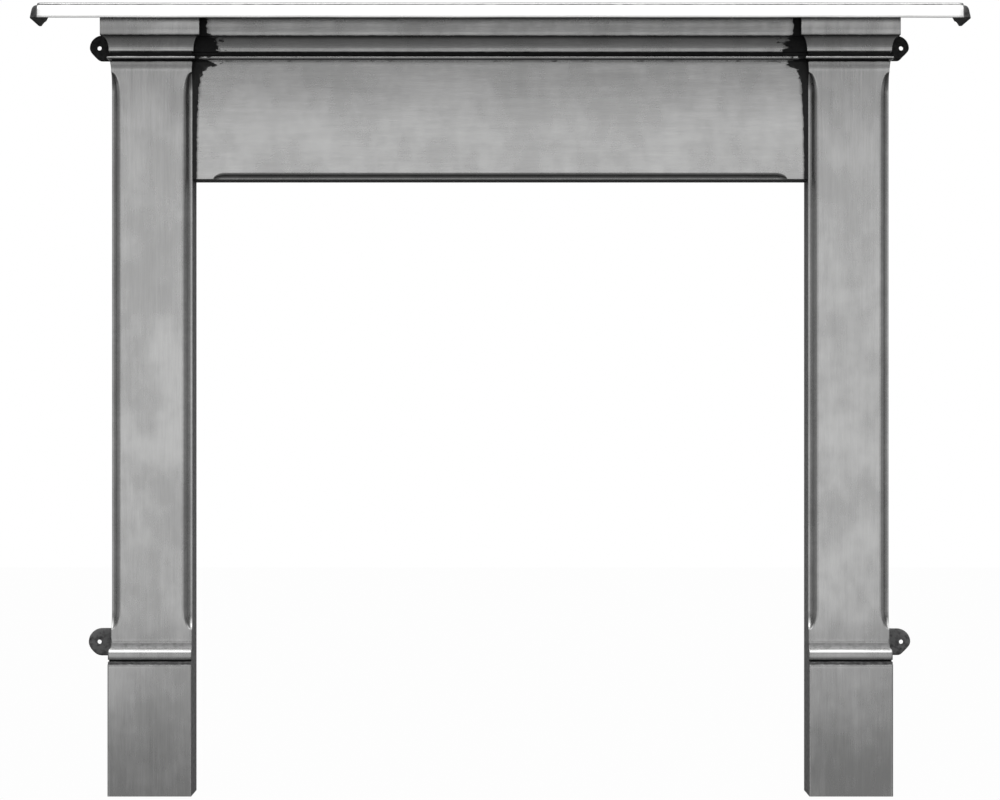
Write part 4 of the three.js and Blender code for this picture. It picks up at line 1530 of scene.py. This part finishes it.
def add_bump(tree: bpy.types.NodeTree, height: object, shader: bpy.types.Node) -> None:
    """Bends a shader's normal by a height in metres."""
    bump = tree.nodes.new("ShaderNodeBump")
    bump.inputs["Strength"].default_value = 1.0
    bump.inputs["Distance"].default_value = 1.0
    tree.links.new(height, bump.inputs["Height"])
    tree.links.new(bump.outputs["Normal"], shader.inputs["Normal"])


def for_the_eye(
    tree: bpy.types.NodeTree, unseen: bpy.types.Node, seen: bpy.types.Node
) -> bpy.types.NodeSocket:
    """A shader that the camera's own rays meet as seen, and all other rays as unseen."""
    path = tree.nodes.new("ShaderNodeLightPath")
    mix = tree.nodes.new("ShaderNodeMixShader")
    tree.links.new(path.outputs["Is Camera Ray"], mix.inputs[0])
    tree.links.new(unseen.outputs[0], mix.inputs[1])
    tree.links.new(seen.outputs[0], mix.inputs[2])
    return mix.outputs[0]


# ---------------------------------------------------------------- finishes


@dataclass(frozen=True)
class IronFinish:
    """Cast iron, polished where the wheel reached and as cast elsewhere.

    Colours are linear, heights are in metres, and the shares say how far clouds and streaks change the tone.
    Speckle is the slope and the offset that turn the skin's grain into light specks.
    """

    name: str
    bright: tuple = (0.70, 0.70, 0.697)
    dull: tuple = (0.30, 0.30, 0.2985)
    cast: tuple = (0.012, 0.012, 0.0125)
    cast_light: tuple = (0.17, 0.17, 0.171)
    grain: tuple = (1.0, 1.0, 0.035)
    cloud_share: float = 0.22
    streak_share: float = 0.7
    rim_share: float = 0.45
    rim_shade: float = 0.7
    speckle: tuple = (3.4, -0.8)
    roughness: float = 0.20
    cloud_roughness: float = 0.06
    streak_roughness: float = 0.06
    cast_roughness: float = 0.62
    cast_metallic: float = 0.35
    specular_level: float = 0.3
    grain_lift: float = 0.000035
    cloud_lift: float = 0.0005
    skin_lift: float = 0.00022

    def material(self) -> bpy.types.Material:
        """Builds the material.

        Returns:
            Polished and cast iron mixed by the polish mask, with grain, clouds and sand skin.
        """
        made, tree, shader, place = new_material(self.name)
        mask = placed_group(tree, polish_mask(), place)
        tree.links.new(attribute(tree, "reach"), mask.inputs["Reach"])
        tree.links.new(attribute(tree, "ragged"), mask.inputs["Ragged"])
        grain = placed_group(tree, hand_grain(), place)
        grain.inputs["Direction"].default_value = self.grain
        cloud = placed_group(tree, cloudiness(), place)
        skin = placed_group(tree, casting_skin(), place)
        on, given = mask.outputs["Mask"], attribute(tree, "tone")
        black = self.skin_colour(tree, skin, given)
        bright = self.polish_colour(tree, mask.outputs["Halo"], cloud, grain, given)
        tree.links.new(mixed_colour(tree, on, black, bright), shader.inputs["Base Color"])
        dulled = self.roughness + self.cloud_roughness
        smooth = mixed_value(tree, cloud.outputs["Cloud"], dulled, self.roughness)
        streaks = math_node(tree, "MULTIPLY", grain.outputs["Streak"], self.streak_roughness)
        smooth = math_node(tree, "ADD", smooth, streaks)
        tree.links.new(mixed_value(tree, on, self.cast_roughness, smooth), shader.inputs["Roughness"])
        tree.links.new(mixed_value(tree, on, self.cast_metallic, 1.0), shader.inputs["Metallic"])
        shader.inputs["Specular IOR Level"].default_value = self.specular_level
        fine, swell = grain.outputs["Height"], cloud.outputs["Height"]
        lift = weighted(tree, fine, self.grain_lift, swell, self.cloud_lift)
        rough = math_node(tree, "MULTIPLY", skin.outputs["Height"], self.skin_lift)
        add_bump(tree, mixed_value(tree, on, rough, lift), shader)
        return made

    def polish_colour(
        self,
        tree: bpy.types.NodeTree,
        halo: object,
        cloud: bpy.types.Node,
        grain: bpy.types.Node,
        given: object,
    ) -> bpy.types.NodeSocket:
        """The polished iron's colour: dull to bright by the tone, and duller in the worn rim.

        Args:
            tree: the material's tree.
            halo: the socket of the worn rim.
            cloud: the clouds' group.
            grain: the grain's group.
            given: the tone attribute's socket.

        Returns:
            The colour's socket.
        """
        cloud_share, streak_share = self.cloud_share, self.streak_share
        clouds = math_node(tree, "MULTIPLY_ADD", cloud.outputs["Cloud"], cloud_share, -cloud_share / 2)
        streaks = math_node(tree, "MULTIPLY_ADD", grain.outputs["Streak"], streak_share, -streak_share / 2)
        tone = math_node(tree, "ADD", math_node(tree, "ADD", clouds, streaks), given, clamp=True)
        polished = mixed_colour(tree, tone, self.dull, self.bright)
        worn = tuple(c * self.rim_shade for c in self.dull)
        return mixed_colour(tree, math_node(tree, "MULTIPLY", halo, self.rim_share), polished, worn)

    def skin_colour(
        self, tree: bpy.types.NodeTree, skin: bpy.types.Node, given: object
    ) -> bpy.types.NodeSocket:
        """The cast skin's colour: black, with light specks where the tone is high."""
        speckle = math_node(tree, "MULTIPLY_ADD", skin.outputs["Grain"], *self.speckle)
        light = math_node(tree, "MULTIPLY", speckle, given, clamp=True)
        return mixed_colour(tree, light, self.cast, self.cast_light)


@dataclass(frozen=True)
class SteelFinish:
    """Plain bright steel of the screws and washers, a little dulled by handling."""

    name: str = "dulled_steel"
    bright: tuple = (0.52, 0.52, 0.53)
    dull: tuple = (0.30, 0.29, 0.28)
    roughness: tuple = (0.5, 0.38)
    grain_lift: float = 0.00004

    def material(self) -> bpy.types.Material:
        """Builds the material.

        Returns:
            Steel with a fine grain and darker clouds of oil and age.
        """
        made, tree, shader, place = new_material(self.name)
        shader.inputs["Metallic"].default_value = 1.0
        grain = placed_group(tree, hand_grain(), place)
        cloud = placed_group(tree, cloudiness(), place)
        aged = ramp(tree, noise(tree, place, stretch=(1, 1, 1), scale=240, detail=4, rough=0.6), 0.35, 0.7)
        tree.links.new(mixed_colour(tree, aged, self.bright, self.dull), shader.inputs["Base Color"])
        tree.links.new(mixed_value(tree, cloud.outputs["Cloud"], *self.roughness), shader.inputs["Roughness"])
        add_bump(tree, math_node(tree, "MULTIPLY", grain.outputs["Height"], self.grain_lift), shader)
        return made


# ---------------------------------------------------------------- studio


@dataclass
class Studio:
    """Pale floor, soft light and the camera at the photograph's place.

    The levels are the surroundings' brightness by elevation, as (degrees, brightness).
    """

    distance: float = 5.5
    eye_height: float = 0.542
    lens: float = 131.54
    shift: tuple = (-0.0003, 0.03)
    floor_half: float = 9.0
    floor_glow: float = 0.985
    floor_drop: float = 0.0004
    behind: float = 0.6
    peak: float = 2.0
    levels: tuple = (
        (-90, 0.08), (-55, 0.16), (-30, 0.20), (-15, 0.24), (-9, 0.27), (-6, 0.36), (-4.2, 0.75), (-3, 1.0),
        (3.5, 1.02), (5.5, 0.56), (8, 0.34), (14, 0.34), (20, 0.55), (28, 1.2), (40, 1.8), (90, 2.0),
    )

    def camera(self) -> None:
        """A level camera in front of the opening's middle, with the shift that the framing needs."""
        data = bpy.data.cameras.new("camera")
        data.lens = self.lens
        data.sensor_width = 36.0
        data.shift_x, data.shift_y = self.shift
        data.clip_end = 50
        camera = bpy.data.objects.new("camera", data)
        camera.location = (0.0, WALL_PLANE - self.distance, self.eye_height)
        camera.rotation_euler = (math.pi / 2, 0.0, 0.0)
        bpy.context.scene.collection.objects.link(camera)
        bpy.context.scene.camera = camera

    def floor(self) -> None:
        """A wide pale floor: a flat grid that is near white to the eye and gives no light of its own."""
        lines = 13
        places = np.linspace(-self.floor_half, self.floor_half, lines)
        x, y = np.meshgrid(places, places, indexing="ij")
        points = np.column_stack([x.ravel(), y.ravel(), np.full(x.size, -self.floor_drop)])
        mesh = bpy.data.meshes.new("floor")
        mesh.from_pydata(points.tolist(), [], grid_quads(lines, lines, False).tolist())
        made = bpy.data.materials.new("pale_floor")
        made.use_nodes = True
        tree = made.node_tree
        tree.nodes.clear()
        out = tree.nodes.new("ShaderNodeOutputMaterial")
        seen = tree.nodes.new("ShaderNodeEmission")
        seen.inputs["Color"].default_value = (1, 1, 1, 1)
        seen.inputs["Strength"].default_value = self.floor_glow
        unseen = tree.nodes.new("ShaderNodeBsdfTransparent")
        tree.links.new(for_the_eye(tree, unseen, seen), out.inputs["Surface"])
        mesh.materials.append(made)
        floor = bpy.data.objects.new("floor", mesh)
        bpy.context.scene.collection.objects.link(floor)

    def surroundings(self) -> None:
        """A studio's soft surroundings by direction.

        They are bright overhead, pale at eye level, dark below and duller to the sides and behind. The camera
        itself sees plain white.
        """
        world = bpy.data.worlds.new("studio")
        world.use_nodes = True
        tree = world.node_tree
        tree.nodes.clear()
        way = tree.nodes.new("ShaderNodeTexCoord").outputs["Generated"]
        parts = tree.nodes.new("ShaderNodeSeparateXYZ")
        tree.links.new(way, parts.inputs[0])
        x, y, z = parts.outputs
        level = tree.nodes.new("ShaderNodeValToRGB")
        tree.links.new(math_node(tree, "MULTIPLY_ADD", z, 0.5, 0.5), level.inputs["Fac"])
        bar = level.color_ramp.elements
        for place, (degrees, value) in enumerate(self.levels):
            position = 0.5 + 0.5 * math.sin(math.radians(degrees))
            stop = bar[place] if place < 2 else bar.new(position)
            stop.position = position
            grey = value / self.peak
            stop.color = (grey, grey, grey, 1)
        across = ramp(tree, math_node(tree, "ABSOLUTE", x), 0.30, 0.80)
        aside = math_node(tree, "MULTIPLY_ADD", ramp(tree, z, 0.2, 0.5), 0.25, 0.40)
        sides = mixed_value(tree, across, 1.0, aside)
        behind = mixed_value(tree, ramp(tree, y, 0.1, 0.6), 1.0, self.behind)
        strength = math_node(tree, "MULTIPLY", math_node(tree, "MULTIPLY", sides, behind), self.peak)
        lit = tree.nodes.new("ShaderNodeBackground")
        tree.links.new(level.outputs["Color"], lit.inputs["Color"])
        tree.links.new(strength, lit.inputs["Strength"])
        white = tree.nodes.new("ShaderNodeBackground")
        white.inputs["Color"].default_value = (1, 1, 1, 1)
        out = tree.nodes.new("ShaderNodeOutputWorld")
        tree.links.new(for_the_eye(tree, lit, white), out.inputs["Surface"])
        bpy.context.scene.world = world

    def softbox(self, name: str, place: tuple, tilt: tuple, size: tuple, power: float) -> None:
        """One rectangular softbox.

        Args:
            name: its name.
            place: where it hangs, in metres.
            tilt: how it is turned about each axis, in degrees.
            size: its width and length in metres.
            power: its power in watts.
        """
        data = bpy.data.lights.new(name, "AREA")
        data.shape = "RECTANGLE"
        data.size, data.size_y = size
        data.energy = power
        lamp = bpy.data.objects.new(name, data)
        lamp.location = place
        lamp.rotation_euler = tuple(math.radians(a) for a in tilt)
        bpy.context.scene.collection.objects.link(lamp)

    def build(self) -> None:
        """Sets up the whole studio."""
        self.camera()
        self.floor()
        self.surroundings()
        self.softbox("overhead", place=(0.0, -1.5, 3.0), tilt=(25, 0, 0), size=(3.2, 1.6), power=20.0)
        scene = bpy.context.scene
        scene.view_settings.view_transform = "Standard"
        scene.view_settings.look = "None"
        LOG.info("studio set up")


def dress_fasteners(nodes: dict) -> None:
    """Gives the carried-over screws and washers their steel.

    Args:
        nodes: the frame's CAD nodes by name.
    """
    steel = SteelFinish().material()
    for name, node in nodes.items():
        if "_bolt_" in name or "_washer_" in name:
            node.data.materials.clear()
            node.data.materials.append(steel)
            LOG.info("%s: steel", name)


def main() -> None:
    """Builds the studio and the surround in order."""
    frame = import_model()
    Studio().build()
    jamb_finish = IronFinish("polished_jamb_iron")
    frieze_finish = IronFinish("polished_frieze_iron", grain=(0.06, 1.0, 1.0))
    # painted light: a lighter copy of the polished iron, for the light on the shelf's edge
    lit_shelf_finish = IronFinish(
        "shelf_edge_iron_painted_light",
        bright=(0.84, 0.84, 0.836),
        dull=(0.62, 0.62, 0.617),
        grain=(0.05, 1.0, 1.0),
        cloud_roughness=0.04,
    )
    Jamb(Hand.LEFT).build(jamb_finish)
    Jamb(Hand.RIGHT).build(jamb_finish)
    Header().build(frieze_finish)
    Shelf().build(lit_shelf_finish)
    dress_fasteners(frame["nodes"])


if __name__ == "__main__":
    main()
